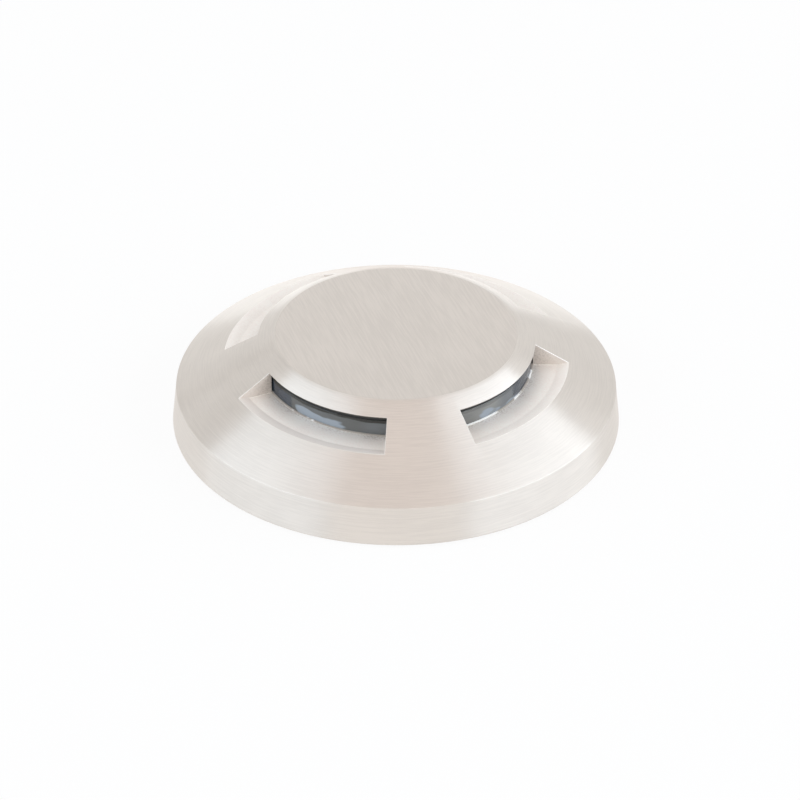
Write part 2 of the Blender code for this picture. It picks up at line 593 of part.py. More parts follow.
def base_casting(mat):
    """Cast base: flange, hub, deck, raised plateau and everything that stands in its cavity."""
    low = ORING_Z - ORING_HALF_GROOVE
    high = ORING_Z + ORING_HALF_GROOVE
    snap_low = SNAP_FOOT_Z - GAP
    snap_high = SNAP_TOP_Z + GAP
    outline = [
        (COVER_SEAT_RADIUS, FLANGE_FOOT_Z), (FLANGE_RADIUS, FLANGE_FOOT_Z),
        (FLANGE_RADIUS, FLANGE_TOP_Z), (HUB_RADIUS, FLANGE_TOP_Z),
        (HUB_RADIUS, low), (HUB_GROOVE_RADIUS, low), (HUB_GROOVE_RADIUS, high), (HUB_RADIUS, high),
        (HUB_RADIUS, snap_low), (SNAP_GROOVE_RADIUS, snap_low),
        (SNAP_GROOVE_RADIUS, snap_high), (HUB_RADIUS, snap_high),
        (HUB_RADIUS, HUB_EDGE_Z), (DECK_EDGE_RADIUS, DECK_Z),
        (LIGHT_BOARD_RADIUS, DECK_Z), (LIGHT_BOARD_RADIUS, PLATEAU_Z),
        (CENTRE_HOLE_RADIUS, PLATEAU_Z), (CENTRE_HOLE_RADIUS, PLATEAU_UNDER_Z),
        (RECESS_RADIUS, PLATEAU_UNDER_Z), (RECESS_RADIUS, DECK_UNDER_Z),
        (CAVITY_RADIUS, DECK_UNDER_Z), (CAVITY_RADIUS, LEDGE_Z), (COVER_SEAT_RADIUS, LEDGE_Z),
    ]
    casting = add_object("base_casting", turned(outline, RING_SEGMENTS), mat)

    def column(radius, foot, top, circle, angles):
        """Columns that hang from the deck and reach into it by half its thickness."""
        root = top + DECK_WALL / 2
        shape = turned([(0, foot), (radius, foot), (radius, root), (0, root)], SMALL_SEGMENTS)
        return repeated(shape, round_places(circle, angles))

    columns = column(PILLAR_RADIUS, FLANGE_FOOT_Z, DECK_UNDER_Z, MOUNT_CIRCLE, MOUNT_ANGLES)
    for more in (column(BOSS_RADIUS, COVER_TOP_Z + GAP, DECK_UNDER_Z, MOUNT_CIRCLE, BOSS_ANGLES),
                 column(POST_RADIUS, DRIVER_TOP_Z + GAP, PLATEAU_UNDER_Z, POST_CIRCLE, BOSS_ANGLES)):
        add_copies(columns, more, [Matrix.Identity(4)])
    combine(casting, "UNION", columns)

    head_z = DECK_Z - MOUNT_HEAD_DEPTH
    below = FLANGE_FOOT_Z - OVERRUN
    above = PLATEAU_Z + OVERRUN
    mount = turned([(0, below), (MOUNT_BORE_RADIUS, below), (MOUNT_BORE_RADIUS, head_z),
                    (MOUNT_HEAD_RADIUS, head_z), (MOUNT_HEAD_RADIUS, above), (0, above)], SMALL_SEGMENTS)
    drills = repeated(mount, round_places(MOUNT_CIRCLE, MOUNT_ANGLES))
    cover_bore = COVER_SCREW_RADIUS + BORE_PLAY
    cover_end = FLANGE_FOOT_Z + COVER_SCREW_LENGTH + BORE_PLAY
    board_bore = BOARD_SCREW_RADIUS + BORE_PLAY
    lower_end = DRIVER_FOOT_Z + DRIVER_BOARD_THICKNESS + GAP + BOARD_SCREW_GRIP + BORE_PLAY
    upper_end = PLATEAU_Z - BOARD_SCREW_GRIP - BORE_PLAY
    for bore, start, end, circle in (
            (cover_bore, COVER_TOP_Z, cover_end, MOUNT_CIRCLE),
            (board_bore, DRIVER_TOP_Z, lower_end, POST_CIRCLE),
            (board_bore, upper_end, above, POST_CIRCLE)):
        drill = turned([(0, start), (bore, start), (bore, end), (0, end)], TINY_SEGMENTS)
        add_copies(drills, drill, round_places(circle, BOSS_ANGLES))
    combine(casting, "DIFFERENCE", drills)
    return casting


def drilled_disc(name, hole, radius, foot, top, mat, drill_radius, circle, angles):
    """Flat disc with a centre hole and small holes on a circle."""
    disc = plain_ring(name, hole, radius, foot, top, mat)
    drill = turned([(0, foot - OVERRUN), (drill_radius, foot - OVERRUN),
                    (drill_radius, top + OVERRUN), (0, top + OVERRUN)], TINY_SEGMENTS)
    combine(disc, "DIFFERENCE", repeated(drill, round_places(circle, angles)))
    return disc


def bottom_cover(mat):
    """Plate that closes the driver's cavity, with holes for the pillars, screws and gland."""
    cover = plain_ring("bottom_cover", GLAND_HOLE_RADIUS, COVER_RADIUS, FLANGE_FOOT_Z, COVER_TOP_Z, mat)
    low = FLANGE_FOOT_Z - OVERRUN
    high = COVER_TOP_Z + OVERRUN
    window = PILLAR_RADIUS + GAP
    holes = repeated(turned([(0, low), (window, low), (window, high), (0, high)], SMALL_SEGMENTS),
                     round_places(MOUNT_CIRCLE, MOUNT_ANGLES))
    bore = COVER_SCREW_RADIUS + BORE_PLAY
    sink = COVER_THICKNESS * 3 / 4
    sunk = turned([(0, low), (bore + sink, low), (bore + sink, FLANGE_FOOT_Z),
                   (bore, FLANGE_FOOT_Z + sink), (bore, high), (0, high)], TINY_SEGMENTS)
    add_copies(holes, sunk, round_places(MOUNT_CIRCLE, BOSS_ANGLES))
    combine(cover, "DIFFERENCE", holes)
    return cover


def cover_screws(mat):
    """Flush screws that hold the bottom cover to its bosses."""
    sink = COVER_THICKNESS * 3 / 4
    screw = countersunk_screw(COVER_SCREW_RADIUS + sink, sink, COVER_SCREW_RADIUS, COVER_SCREW_LENGTH)
    places = round_places(MOUNT_CIRCLE, BOSS_ANGLES, FLANGE_FOOT_Z, flip=True)
    return add_row("cover_screw", screw, places, mat)


def board_screws(name, head_z, length, mat, flip=False):
    """Pan-head screws on the posts' circle."""
    screw = pan_screw(BOARD_SCREW_HEAD_RADIUS, BOARD_SCREW_HEAD, BOARD_SCREW_RADIUS, length)
    return add_row(name, screw, round_places(POST_CIRCLE, BOSS_ANGLES, head_z, flip), mat)


def led_emitters(mat):
    """Two square emitters for each window."""
    angles = [window + side * EMITTER_SPREAD / 2 for window in WINDOW_ANGLES for side in (-1, 1)]
    emitter = block((EMITTER_SIZE, EMITTER_SIZE, EMITTER_HEIGHT), EDGE_BREAK / 2)
    places = round_places(EMITTER_CIRCLE, angles, LIGHT_BOARD_TOP_Z + SOLDER_GAP)
    return add_row("led_emitter", emitter, places, mat)


def part_radius(share):
    """Radius on the driver board, from its hole at share 0 to its edge at share 1."""
    return DRIVER_HOLE_RADIUS + DRIVER_BOARD_WIDTH * share


def put_on_driver_board(obj, angle):
    """Stand an object on the driver board, turned to face outwards."""
    obj.location = place(part_radius(PART_RADIUS_SHARE), angle, DRIVER_TOP_Z + SOLDER_GAP)
    obj.rotation_euler.z = angle


def inductor(mat):
    """Drum core with a narrower winding between two flanges."""
    height = HEADROOM * INDUCTOR_HEIGHT_SHARE
    flange = height / 5
    outline = [(0, 0), (INDUCTOR_RADIUS, 0), (INDUCTOR_RADIUS, flange),
               (INDUCTOR_WAIST_RADIUS, flange), (INDUCTOR_WAIST_RADIUS, height - flange),
               (INDUCTOR_RADIUS, height - flange), (INDUCTOR_RADIUS, height), (0, height)]
    return add_object("inductor", turned(outline, SMALL_SEGMENTS), mat)


def filter_capacitor(mat):
    """Round can that lies on the board, across its ring."""
    half = CAPACITOR_LENGTH / 2
    corner = CAPACITOR_ROUND
    outline = [(0, -half), (CAPACITOR_RADIUS - corner, -half), (CAPACITOR_RADIUS, -half + corner),
               (CAPACITOR_RADIUS, half - corner), (CAPACITOR_RADIUS - corner, half), (0, half)]
    can = turned(outline, SMALL_SEGMENTS)
    bmesh.ops.rotate(can, verts=can.verts, cent=(0, 0, 0), matrix=Matrix.Rotation(pi / 2, 3, "X"))
    bmesh.ops.translate(can, verts=can.verts, vec=(0, 0, CAPACITOR_RADIUS))
    return add_object("filter_capacitor", can, mat)


def terminal_block(mat):
    """Two-way screw terminal: wire holes face the gland, screw wells open upwards."""
    height = HEADROOM * TERMINAL_HEIGHT_SHARE
    body = block((TERMINAL_DEPTH, TERMINAL_WIDTH, height), EDGE_BREAK)
    obj = add_object("terminal_block", body, mat)
    wire_z = TERMINAL_BORE_RADIUS + 2 * EDGE_BREAK
    deep = TERMINAL_DEPTH / 3
    bore = turned([(0, 0), (TERMINAL_BORE_RADIUS, 0), (TERMINAL_BORE_RADIUS, deep + OVERRUN),
                   (0, deep + OVERRUN)], TINY_SEGMENTS)
    inwards = Matrix.Rotation(pi / 2, 4, "Y")
    ways = [side * TERMINAL_WIDTH / 4 for side in (-1, 1)]
    start = -TERMINAL_DEPTH / 2 - OVERRUN
    cuts = repeated(bore, [Matrix.Translation((start, way, wire_z)) @ inwards for way in ways])
    well_radius = TERMINAL_SCREW_RADIUS + BORE_PLAY
    well_z = height - TERMINAL_SCREW_HEIGHT - BORE_PLAY
    well = turned([(0, well_z), (well_radius, well_z), (well_radius, height + OVERRUN),
                   (0, height + OVERRUN)], TINY_SEGMENTS)
    wells = [Matrix.Translation((TERMINAL_DEPTH / 6, way, 0)) for way in ways]
    add_copies(cuts, well, wells)
    combine(obj, "DIFFERENCE", cuts)
    return obj


def terminal_screws(mat, angle):
    """The terminal's two clamping screws, in their wells."""
    height = HEADROOM * TERMINAL_HEIGHT_SHARE
    recess = TERMINAL_SCREW_RADIUS / 3
    outline = [(0, TERMINAL_SCREW_HEIGHT - recess), (recess, TERMINAL_SCREW_HEIGHT),
               (TERMINAL_SCREW_RADIUS, TERMINAL_SCREW_HEIGHT), (TERMINAL_SCREW_RADIUS, 0), (0, 0)]
    screw = turned(outline, TINY_SEGMENTS)
    foot = height - TERMINAL_SCREW_HEIGHT - SEAL_GAP
    block_place = round_places(part_radius(PART_RADIUS_SHARE), [angle], DRIVER_TOP_Z + SOLDER_GAP)[0]
    places = [block_place @ Matrix.Translation((TERMINAL_DEPTH / 6, side * TERMINAL_WIDTH / 4, foot))
              for side in (-1, 1)]
    return add_row("terminal_screw", screw, places, mat)


def chip(name, length, width, height, pins, mat):
    """Moulded chip with bent pins along both long sides."""
    body = block((width, length, height - CHIP_STANDOFF), EDGE_BREAK)
    bmesh.ops.translate(body, verts=body.verts, vec=(0, 0, CHIP_STANDOFF))
    obj = add_object(name, body, mat)
    reach = PIN_LENGTH + EDGE_BREAK * 2
    pin = block((reach, PIN_WIDTH, height / 2))
    steps = [length * (k + 1) / (pins + 1) - length / 2 for k in range(pins)]
    centre = (width + PIN_LENGTH) / 2 - EDGE_BREAK
    places = [Matrix.Translation((side * centre, step, 0)) for side in (-1, 1) for step in steps]
    combine(obj, "UNION", repeated(pin, places))
    return obj


def chip_parts(mat):
    """Small chip resistors beside the rectifier and the driver chip."""
    piece = block((SMALL_CHIP_WIDTH, SMALL_CHIP_LENGTH, SMALL_CHIP_HEIGHT), EDGE_BREAK / 2)
    angles = [MOUNT_ANGLES[1] + pi / 6, MOUNT_ANGLES[2] - pi / 6]
    places = []
    for share in SMALL_CHIP_RADIUS_SHARES:
        places += round_places(part_radius(share), angles, DRIVER_TOP_Z + SOLDER_GAP)
    return add_row("chip_resistor", piece, places, mat)


def lead(name, side, mat):
    """Insulated lead from the driver board, up through the centre hole, to the light board."""
    half = LEAD_DIAMETER / 2
    foot_radius = part_radius(LEAD_FOOT_SHARE)
    foot_angle = pi / 2 + side * pi / 5
    foot_z = DRIVER_TOP_Z + SOLDER_GAP
    bend_z = GLAND_CAP_TOP_Z + LEAD_DIAMETER
    board_z = LIGHT_BOARD_TOP_Z + SOLDER_GAP + half
    hole_x = -side * LEAD_SPREAD
    foot = place(foot_radius, foot_angle)
    pad_radius = CENTRE_HOLE_RADIUS * 2
    route = [
        (foot.x, foot.y, foot_z),
        (foot.x, foot.y, (foot_z + bend_z) / 2),
        (foot.x * 4 / 5, foot.y * 4 / 5, bend_z),
        (hole_x, foot.y / 4, (bend_z + PLATEAU_UNDER_Z) / 2),
        (hole_x, 0, PLATEAU_UNDER_Z),
        (hole_x, 0, LIGHT_BOARD_FOOT_Z),
        (hole_x, -half, board_z - half / 2),
        (hole_x, -CENTRE_HOLE_RADIUS, board_z),
        (hole_x, -pad_radius, board_z),
    ]
    curve = bpy.data.curves.new(name, "CURVE")
    curve.dimensions = "3D"
    curve.bevel_depth = half
    curve.bevel_resolution = 2
    curve.use_fill_caps = True
    points = smooth_route([Vector(point) for point in route])
    spline = curve.splines.new("POLY")
    spline.points.add(len(points) - 1)
    for target, point in zip(spline.points, points):
        target.co = (*point, 1.0)
    curve.materials.append(mat)
    return link_object(name, curve)


def smooth_route(route, steps=2):
    """Points of a smooth curve through the route's own points."""
    padded = [2 * route[0] - route[1]] + route + [2 * route[-1] - route[-2]]
    points = []
    for before, start, end, after in zip(padded, padded[1:], padded[2:], padded[3:]):
        for k in range(steps):
            t = k / steps
            points.append(0.5 * ((2 * start) + (end - before) * t
                                 + (2 * before - 5 * start + 4 * end - after) * t * t
                                 + (3 * start - before - 3 * end + after) * t * t * t))
    return points + [route[-1]]


def gland_body(mat):
    """Cable gland tube with a flange under the cover and a seat for its seal."""
    outline = [
        (CABLE_BORE_RADIUS, FLANGE_FOOT_Z - GAP - GLAND_FLANGE),
        (GLAND_FLANGE_RADIUS, FLANGE_FOOT_Z - GAP - GLAND_FLANGE),
        (GLAND_FLANGE_RADIUS, FLANGE_FOOT_Z - GAP), (GLAND_RADIUS, FLANGE_FOOT_Z - GAP),
        (GLAND_RADIUS, GLAND_TOP_Z), (GLAND_POCKET_RADIUS, GLAND_TOP_Z),
        (GLAND_POCKET_RADIUS, GLAND_SEAT_Z), (CABLE_BORE_RADIUS, GLAND_SEAT_Z),
    ]
    return add_object("gland_body", turned(outline, SMALL_SEGMENTS), mat)


def gland_locknut(mat):
    """Hexagon nut that clamps the gland to the cover."""
    nut = turned([(0, LOCKNUT_FOOT_Z), (NUT_RADIUS, LOCKNUT_FOOT_Z),
                  (NUT_RADIUS, LOCKNUT_TOP_Z), (0, LOCKNUT_TOP_Z)], 6)
    obj = add_object("gland_locknut", nut, mat)
    low = LOCKNUT_FOOT_Z - OVERRUN
    high = LOCKNUT_TOP_Z + OVERRUN
    combine(obj, "DIFFERENCE", turned([(0, low), (NUT_INNER_RADIUS, low), (NUT_INNER_RADIUS, high),
                                       (0, high)], SMALL_SEGMENTS))
    return obj


def gland_cap(mat):
    """Round cap over the gland's tube that squeezes the seal on the cable."""
    outline = [
        (NUT_INNER_RADIUS, GLAND_CAP_FOOT_Z), (NUT_RADIUS, GLAND_CAP_FOOT_Z),
        (NUT_RADIUS, GLAND_CAP_UNDER_Z), (NUT_RADIUS - GLAND_CAP_ROOF, GLAND_CAP_TOP_Z),
        (CABLE_BORE_RADIUS, GLAND_CAP_TOP_Z), (CABLE_BORE_RADIUS, GLAND_CAP_UNDER_Z),
        (NUT_INNER_RADIUS, GLAND_CAP_UNDER_Z),
    ]
    return add_object("gland_cap", turned(outline, SMALL_SEGMENTS), mat)


def axis_empty(name, parent=None):
    """Empty on the joint axis, under which a moving body's pieces lie."""
    empty = link_object(name, None)
    empty.parent = parent
    return empty


def build():
    """Build every piece and hang it on its body."""
    clear_scene()
    steel = material("brushed_stainless", (0.72, 0.70, 0.67), 0.32, 1.0)
    screw_steel = material("screw_steel", (0.58, 0.58, 0.58), 0.35, 1.0)
    spring_steel = material("spring_steel", (0.30, 0.31, 0.33), 0.4, 1.0)
    clear = material("clear_lens", (0.80, 0.88, 0.92), 0.05, 0.0, 0.35)
    rubber = material("black_rubber", (0.02, 0.02, 0.02), 0.8)
    mirror = material("polished_aluminium", (0.85, 0.86, 0.87), 0.12, 1.0)
    casting = material("cast_aluminium", (0.50, 0.51, 0.52), 0.5, 1.0)
    nylon = material("black_nylon", (0.03, 0.03, 0.032), 0.5)
    pad = material("thermal_pad", (0.45, 0.55, 0.62), 0.8)
    dark_mask = material("dark_board", (0.03, 0.05, 0.05), 0.45)
    green_mask = material("green_board", (0.03, 0.20, 0.09), 0.4)
    emitter = material("emitter", (0.85, 0.70, 0.25), 0.4)
    moulding = material("chip_moulding", (0.025, 0.025, 0.028), 0.5)
    can = material("capacitor_sleeve", (0.05, 0.07, 0.16), 0.35)
    ferrite = material("ferrite_and_copper", (0.30, 0.16, 0.09), 0.5)
    terminal = material("green_terminal", (0.05, 0.30, 0.14), 0.45)
    tan_chip = material("chip_ceramic", (0.50, 0.38, 0.25), 0.5)
    red = material("red_insulation", (0.50, 0.03, 0.03), 0.45)
    black = material("black_insulation", (0.02, 0.02, 0.02), 0.45)

    swivel_axis = axis_empty("cap_aim_axis")
    lift_axis = axis_empty("cap_lift_axis", swivel_axis)

    on_cap = [
        top_cap(steel),
        plain_ring("lens_ring", LENS_INNER_RADIUS, LENS_RADIUS, LENS_FOOT_Z, LENS_TOP_Z, clear),
        plain_ring("lens_upper_gasket", LENS_INNER_RADIUS, LENS_RADIUS,
                   LENS_TOP_Z + SEAL_GAP, CEILING_Z - SEAL_GAP, rubber),
        plain_ring("lens_lower_gasket", LENS_INNER_RADIUS, LENS_RADIUS,
                   RETAINER_TOP_Z + SEAL_GAP, LENS_FOOT_Z - SEAL_GAP, rubber),
        lens_retainer(nylon),
        reflector(mirror),
        reflector_screw(screw_steel),
    ] + lens_retainer_screws(screw_steel)
    on_swivel = [swivel_ring(nylon), o_ring("cap_o_ring", CAP_ORING_RADIUS, rubber)]
    for pieces, axis in ((on_cap, lift_axis), (on_swivel, swivel_axis)):
        for piece in pieces:
            piece.parent = axis

    base_casting(casting)
    plain_ring("foot_gasket", COVER_SEAT_RADIUS + FOOT_EDGE, FLANGE_RADIUS - FOOT_EDGE,
               0, FOOT_THICKNESS, rubber)
    o_ring("hub_o_ring", HUB_ORING_RADIUS, rubber)
    snap_ring(spring_steel)
    bottom_cover(nylon)
    plain_ring("cover_gasket", CAVITY_RADIUS + GAP, COVER_RADIUS,
               COVER_TOP_Z + SEAL_GAP, LEDGE_Z - SEAL_GAP, rubber)
    cover_screws(screw_steel)

    hole = BOARD_SCREW_RADIUS + BORE_PLAY
    drilled_disc("thermal_pad", CENTRE_HOLE_RADIUS, LIGHT_BOARD_RADIUS, PLATEAU_Z + SEAL_GAP,
                 LIGHT_BOARD_FOOT_Z - SEAL_GAP, pad, hole, POST_CIRCLE, BOSS_ANGLES)
    drilled_disc("led_board", CENTRE_HOLE_RADIUS, LIGHT_BOARD_RADIUS, LIGHT_BOARD_FOOT_Z,
                 LIGHT_BOARD_TOP_Z, dark_mask, hole, POST_CIRCLE, BOSS_ANGLES)
    led_emitters(emitter)
    grip = LIGHT_BOARD_TOP_Z + SOLDER_GAP - PLATEAU_Z + BOARD_SCREW_GRIP
    board_screws("led_board_screw", LIGHT_BOARD_TOP_Z + SOLDER_GAP, grip, screw_steel)

    drilled_disc("driver_board", DRIVER_HOLE_RADIUS, DRIVER_RADIUS, DRIVER_FOOT_Z, DRIVER_TOP_Z,
                 green_mask, hole, POST_CIRCLE, BOSS_ANGLES)
    grip = DRIVER_BOARD_THICKNESS + GAP + SOLDER_GAP + BOARD_SCREW_GRIP
    board_screws("driver_board_screw", DRIVER_FOOT_Z - SOLDER_GAP, grip, screw_steel, flip=True)
    put_on_driver_board(terminal_block(terminal), MOUNT_ANGLES[0])
    terminal_screws(screw_steel, MOUNT_ANGLES[0])
    put_on_driver_board(inductor(ferrite), MOUNT_ANGLES[1])
    put_on_driver_board(filter_capacitor(can), MOUNT_ANGLES[2])
    put_on_driver_board(chip("rectifier", RECTIFIER_LENGTH, RECTIFIER_WIDTH,
                             HEADROOM * RECTIFIER_HEIGHT_SHARE, 2, moulding), 0)
    put_on_driver_board(chip("driver_chip", DRIVER_CHIP_LENGTH, DRIVER_CHIP_WIDTH,
                             HEADROOM * DRIVER_CHIP_HEIGHT_SHARE, 4, moulding), pi)
    chip_parts(tan_chip)
    lead("positive_lead", -1, red)
    lead("negative_lead", 1, black)

    gland_body(nylon)
    gland_locknut(nylon)
    plain_ring("gland_seal", CABLE_BORE_RADIUS, CABLE_BORE_RADIUS + GLAND_SEAL_WALL,
               GLAND_SEAT_Z + SEAL_GAP, GLAND_TOP_Z - SEAL_GAP, rubber, SMALL_SEGMENTS)
    gland_cap(nylon)


build()
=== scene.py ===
"""A low round well light in brushed stainless steel, with four side windows.

Sizes in the classes are in millimetres and are turned into metres where a mesh is drawn.
The window centres lie on -Y, +X, +Y and -X, and the light stands on z = 0.
"""

import json
import logging
from collections.abc import Callable, Iterable, Sequence
from dataclasses import dataclass
from enum import Enum, IntEnum
from math import atan2, cos, degrees, hypot, pi, radians, sin, tan
from typing import Any

import bmesh
import bpy
from mathutils import Matrix, Vector

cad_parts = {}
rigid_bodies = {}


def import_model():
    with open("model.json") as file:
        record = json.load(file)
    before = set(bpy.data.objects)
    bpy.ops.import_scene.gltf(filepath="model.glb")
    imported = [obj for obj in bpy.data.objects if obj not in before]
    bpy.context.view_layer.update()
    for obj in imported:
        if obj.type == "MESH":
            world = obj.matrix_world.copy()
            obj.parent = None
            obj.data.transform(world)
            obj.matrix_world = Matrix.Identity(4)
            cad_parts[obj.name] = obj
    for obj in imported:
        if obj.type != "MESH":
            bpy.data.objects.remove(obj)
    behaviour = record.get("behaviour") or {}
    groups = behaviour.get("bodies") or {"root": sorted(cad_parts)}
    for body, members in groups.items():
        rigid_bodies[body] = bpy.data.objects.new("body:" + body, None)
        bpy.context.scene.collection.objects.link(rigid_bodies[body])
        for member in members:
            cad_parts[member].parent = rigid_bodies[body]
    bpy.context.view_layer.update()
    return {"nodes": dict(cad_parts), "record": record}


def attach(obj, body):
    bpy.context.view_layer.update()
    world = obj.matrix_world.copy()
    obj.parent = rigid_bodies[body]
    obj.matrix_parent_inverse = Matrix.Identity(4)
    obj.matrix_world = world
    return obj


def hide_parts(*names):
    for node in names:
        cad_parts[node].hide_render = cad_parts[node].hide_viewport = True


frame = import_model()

MM = 0.001
MERGE = 0.001                   # points closer than this are one point
FULL = 360.0
SMOOTH = 25.0                   # edges flatter than this are shaded smooth
ROUND_STEPS = 3                 # facets over a rounded edge
WHITE = (1.0, 1.0, 1.0)
WINDOWS = (-90.0, 0.0, 90.0, 180.0)
BRIDGES = (-45.0, 45.0, 135.0, 225.0)
MOUNTS = (90.0, 210.0, 330.0)
BOSSES = (150.0, 270.0, 30.0)

Outline = list[tuple[float, float]]
Colour = tuple[float, float, float]
FaceTest = Callable[[Vector, Vector], bool]

log = logging.getLogger("well_light")


class Body(Enum):
    """The bodies that pieces ride on."""

    BASE = "base"
    SWIVEL = "swivel"
    CAP = "cap"


class CapSlot(IntEnum):
    """The cap's material slots."""

    TURNED = 0
    BRUSHED = 1
    POCKET = 2
    MACHINED = 3
    # Bright finish on rounded edges: painted highlight.
    EDGE_HIGHLIGHT = 4
    END_WALL = 5
    # The roof's lip, whose finish is a painted shadow.
    ROOF_SHADOW = 6


def from_axis(place: Vector) -> float:
    """Distance of a place from the axis."""
    return place.to_2d().length


def polar(radius: float, azimuth: float, height: float = 0.0) -> Vector:
    """Place of a point about the axis.

    Args:
        radius: Distance from the axis, in millimetres.
        azimuth: Angle from +X towards +Y, in degrees.
        height: Height, in millimetres.

    Returns:
        The place in metres.
    """
    turn = radians(azimuth)
    return Vector((radius * cos(turn), radius * sin(turn), height)) * MM


def arc(centre: tuple[float, float], radius: float, start: float, end: float, steps: int) -> Outline:
    """Points of a round stretch of an outline.

    Args:
        centre: Radius and height of the round's centre.
        radius: The round's radius.
        start: First angle in degrees, from outwards towards up.
        end: Last angle in degrees.
        steps: Number of stretches.

    Returns:
        The points, both ends among them.
    """
    turns = [radians(start + (end - start) * k / steps) for k in range(steps + 1)]
    return [(centre[0] + radius * cos(t), centre[1] + radius * sin(t)) for t in turns]


def rounded(corners: Outline, radius: float) -> Outline:
    """Closed outline with a small round on every corner.

    Args:
        corners: The corners in order.
        radius: Radius of each round.

    Returns:
        The points of the rounded outline, with the first again at its end.
    """
    points: Outline = []
    for before, corner, after in zip(corners[-1:] + corners[:-1], corners, corners[1:] + corners[:1]):
        here = Vector(corner)
        back = (Vector(before) - here).normalized()
        ahead = (Vector(after) - here).normalized()
        half = back.angle(ahead) / 2
        if half > pi / 2 - 0.01:
            points.append(corner)
            continue
        reach = radius / tan(half)
        centre = here + (back + ahead).normalized() * radius / sin(half)
        first, last = here + back * reach - centre, here + ahead * reach - centre
        for k in range(ROUND_STEPS + 1):
            share = k / ROUND_STEPS
            spoke = (first * (1 - share) + last * share).normalized() * radius
            points.append((centre.x + spoke.x, centre.y + spoke.y))
    return points + points[:1]


class Draft:
    """A mesh that is drawn in edit mode with the modelling operators."""

    def __init__(self, name: str) -> None:
        """Start an empty mesh.

        Args:
            name: Name of the object and of its mesh.
        """
        bpy.ops.object.select_all(action="DESELECT")
        bpy.ops.mesh.primitive_plane_add(size=MM)
        self.object = bpy.context.active_object
        self.object.name = self.object.data.name = name
        bpy.ops.object.mode_set(mode="EDIT")
        bpy.ops.mesh.delete(type="VERT")

    def dress(self, slot: int) -> None:
        """Give the selected faces a material slot."""
        while len(self.object.data.materials) <= slot:
            self.object.data.materials.append(None)
        self.object.active_material_index = slot
        bpy.ops.object.material_slot_assign()

    def line(self, outline: Outline, azimuth: float = 0.0) -> None:
        """Draw a chain of edges in the plane through the axis, and leave it selected.

        Args:
            outline: Radius and height of each point.
            azimuth: Angle of the plane, in degrees.
        """
        places = [polar(radius, azimuth, height) for radius, height in outline]
        bpy.ops.mesh.select_mode(type="VERT")
        bpy.ops.mesh.select_all(action="DESELECT")
        bpy.ops.mesh.primitive_plane_add(size=MM, location=places[0])
        bpy.ops.mesh.merge(type="CENTER")
        for start, end in zip(places, places[1:]):
            bpy.ops.mesh.extrude_vertices_move(TRANSFORM_OT_translate={"value": end - start})
        bpy.ops.mesh.select_linked()

    def turn(self, outline: Outline, steps: int, start: float = 0.0, sweep: float = FULL,
             slot: int = 0) -> None:
        """Spin an outline about the axis.

        Args:
            outline: Radius and height of each point.
            steps: Number of facets over the sweep.
            start: Azimuth of the first edge, in degrees.
            sweep: Angle to turn through, in degrees.
            slot: Material slot of the new faces.
        """
        self.line(outline, start)
        bpy.ops.mesh.spin(steps=steps, angle=-radians(sweep), center=(0, 0, 0), axis=(0, 0, 1))
        bpy.ops.mesh.select_linked()
        self.dress(slot)

    def block(self, size: Sequence[float], radius: float, azimuth: float, foot: float,
              edge: float = 0.0) -> None:
        """Stand a box at a place round the axis, turned to face outwards, with its edges rounded.

        Args:
            size: Its size outwards, round the axis, and up.
            radius: Radius of its centre.
            azimuth: Azimuth of its centre, in degrees.
            foot: Height of its foot.
            edge: Radius of its rounded edges.
        """
        bpy.ops.mesh.select_all(action="DESELECT")
        centre = polar(radius, azimuth, foot + size[2] / 2)
        bpy.ops.mesh.primitive_cube_add(size=1.0, location=centre, rotation=(0, 0, radians(azimuth)),
                                        scale=[side * MM for side in size])
        if edge:
            bpy.ops.mesh.bevel(offset=edge * MM, segments=2, affect="EDGES")
            bpy.ops.mesh.select_linked()
        self.dress(0)

    def weld(self) -> None:
        """Merge points that coincide and leave everything selected."""
        bpy.ops.mesh.select_all(action="SELECT")
        bpy.ops.mesh.remove_doubles(threshold=MERGE * MM)

    def fill(self, slot: int = 0) -> None:
        """Close every hole with one face.

        Args:
            slot: Material slot of the new faces.
        """
        before = self.count()
        bpy.ops.mesh.select_all(action="SELECT")
        bpy.ops.mesh.fill_holes(sides=0)
        shape = bmesh.from_edit_mesh(self.object.data)
        shape.faces.ensure_lookup_table()
        for face in shape.faces:
            face.select_set(face.index >= before)
        bmesh.update_edit_mesh(self.object.data)
        self.dress(slot)

    def count(self) -> int:
        """Number of faces so far."""
        return len(bmesh.from_edit_mesh(self.object.data).faces)

    def pick_faces(self, test: FaceTest) -> None:
        """Select the faces that pass a test.

        Args:
            test: Takes a face's centre in millimetres and its normal.
        """
        bpy.ops.mesh.select_mode(type="FACE")
        bpy.ops.mesh.select_all(action="DESELECT")
        shape = bmesh.from_edit_mesh(self.object.data)
        found = [face for face in shape.faces if test(face.calc_center_median() / MM, face.normal)]
        for face in found:
            face.select_set(True)
        bmesh.update_edit_mesh(self.object.data)

    def round_edges(self, width: float, sharper_than: float, test: Callable[[Vector], bool],
                    slot: int) -> None:
        """Bevel the sharp edges whose middle passes a test.

        Args:
            width: Width of the bevel, in millimetres.
            sharper_than: Smallest angle between the two faces, in degrees.
            test: Takes the middle of an edge in millimetres.
            slot: Material slot of the bevel.
        """
        while len(self.object.data.materials) <= slot:
            self.object.data.materials.append(None)
        bpy.ops.mesh.select_mode(type="EDGE")
        bpy.ops.mesh.select_all(action="DESELECT")
        shape = bmesh.from_edit_mesh(self.object.data)
        for edge in shape.edges:
            if len(edge.link_faces) == 2 and edge.calc_face_angle() > radians(sharper_than):
                middle = (edge.verts[0].co + edge.verts[1].co) / 2 / MM
                edge.select_set(test(middle))
        bmesh.update_edit_mesh(self.object.data)
        bpy.ops.mesh.bevel(offset=width * MM, segments=ROUND_STEPS, affect="EDGES",
                           clamp_overlap=True, material=slot)

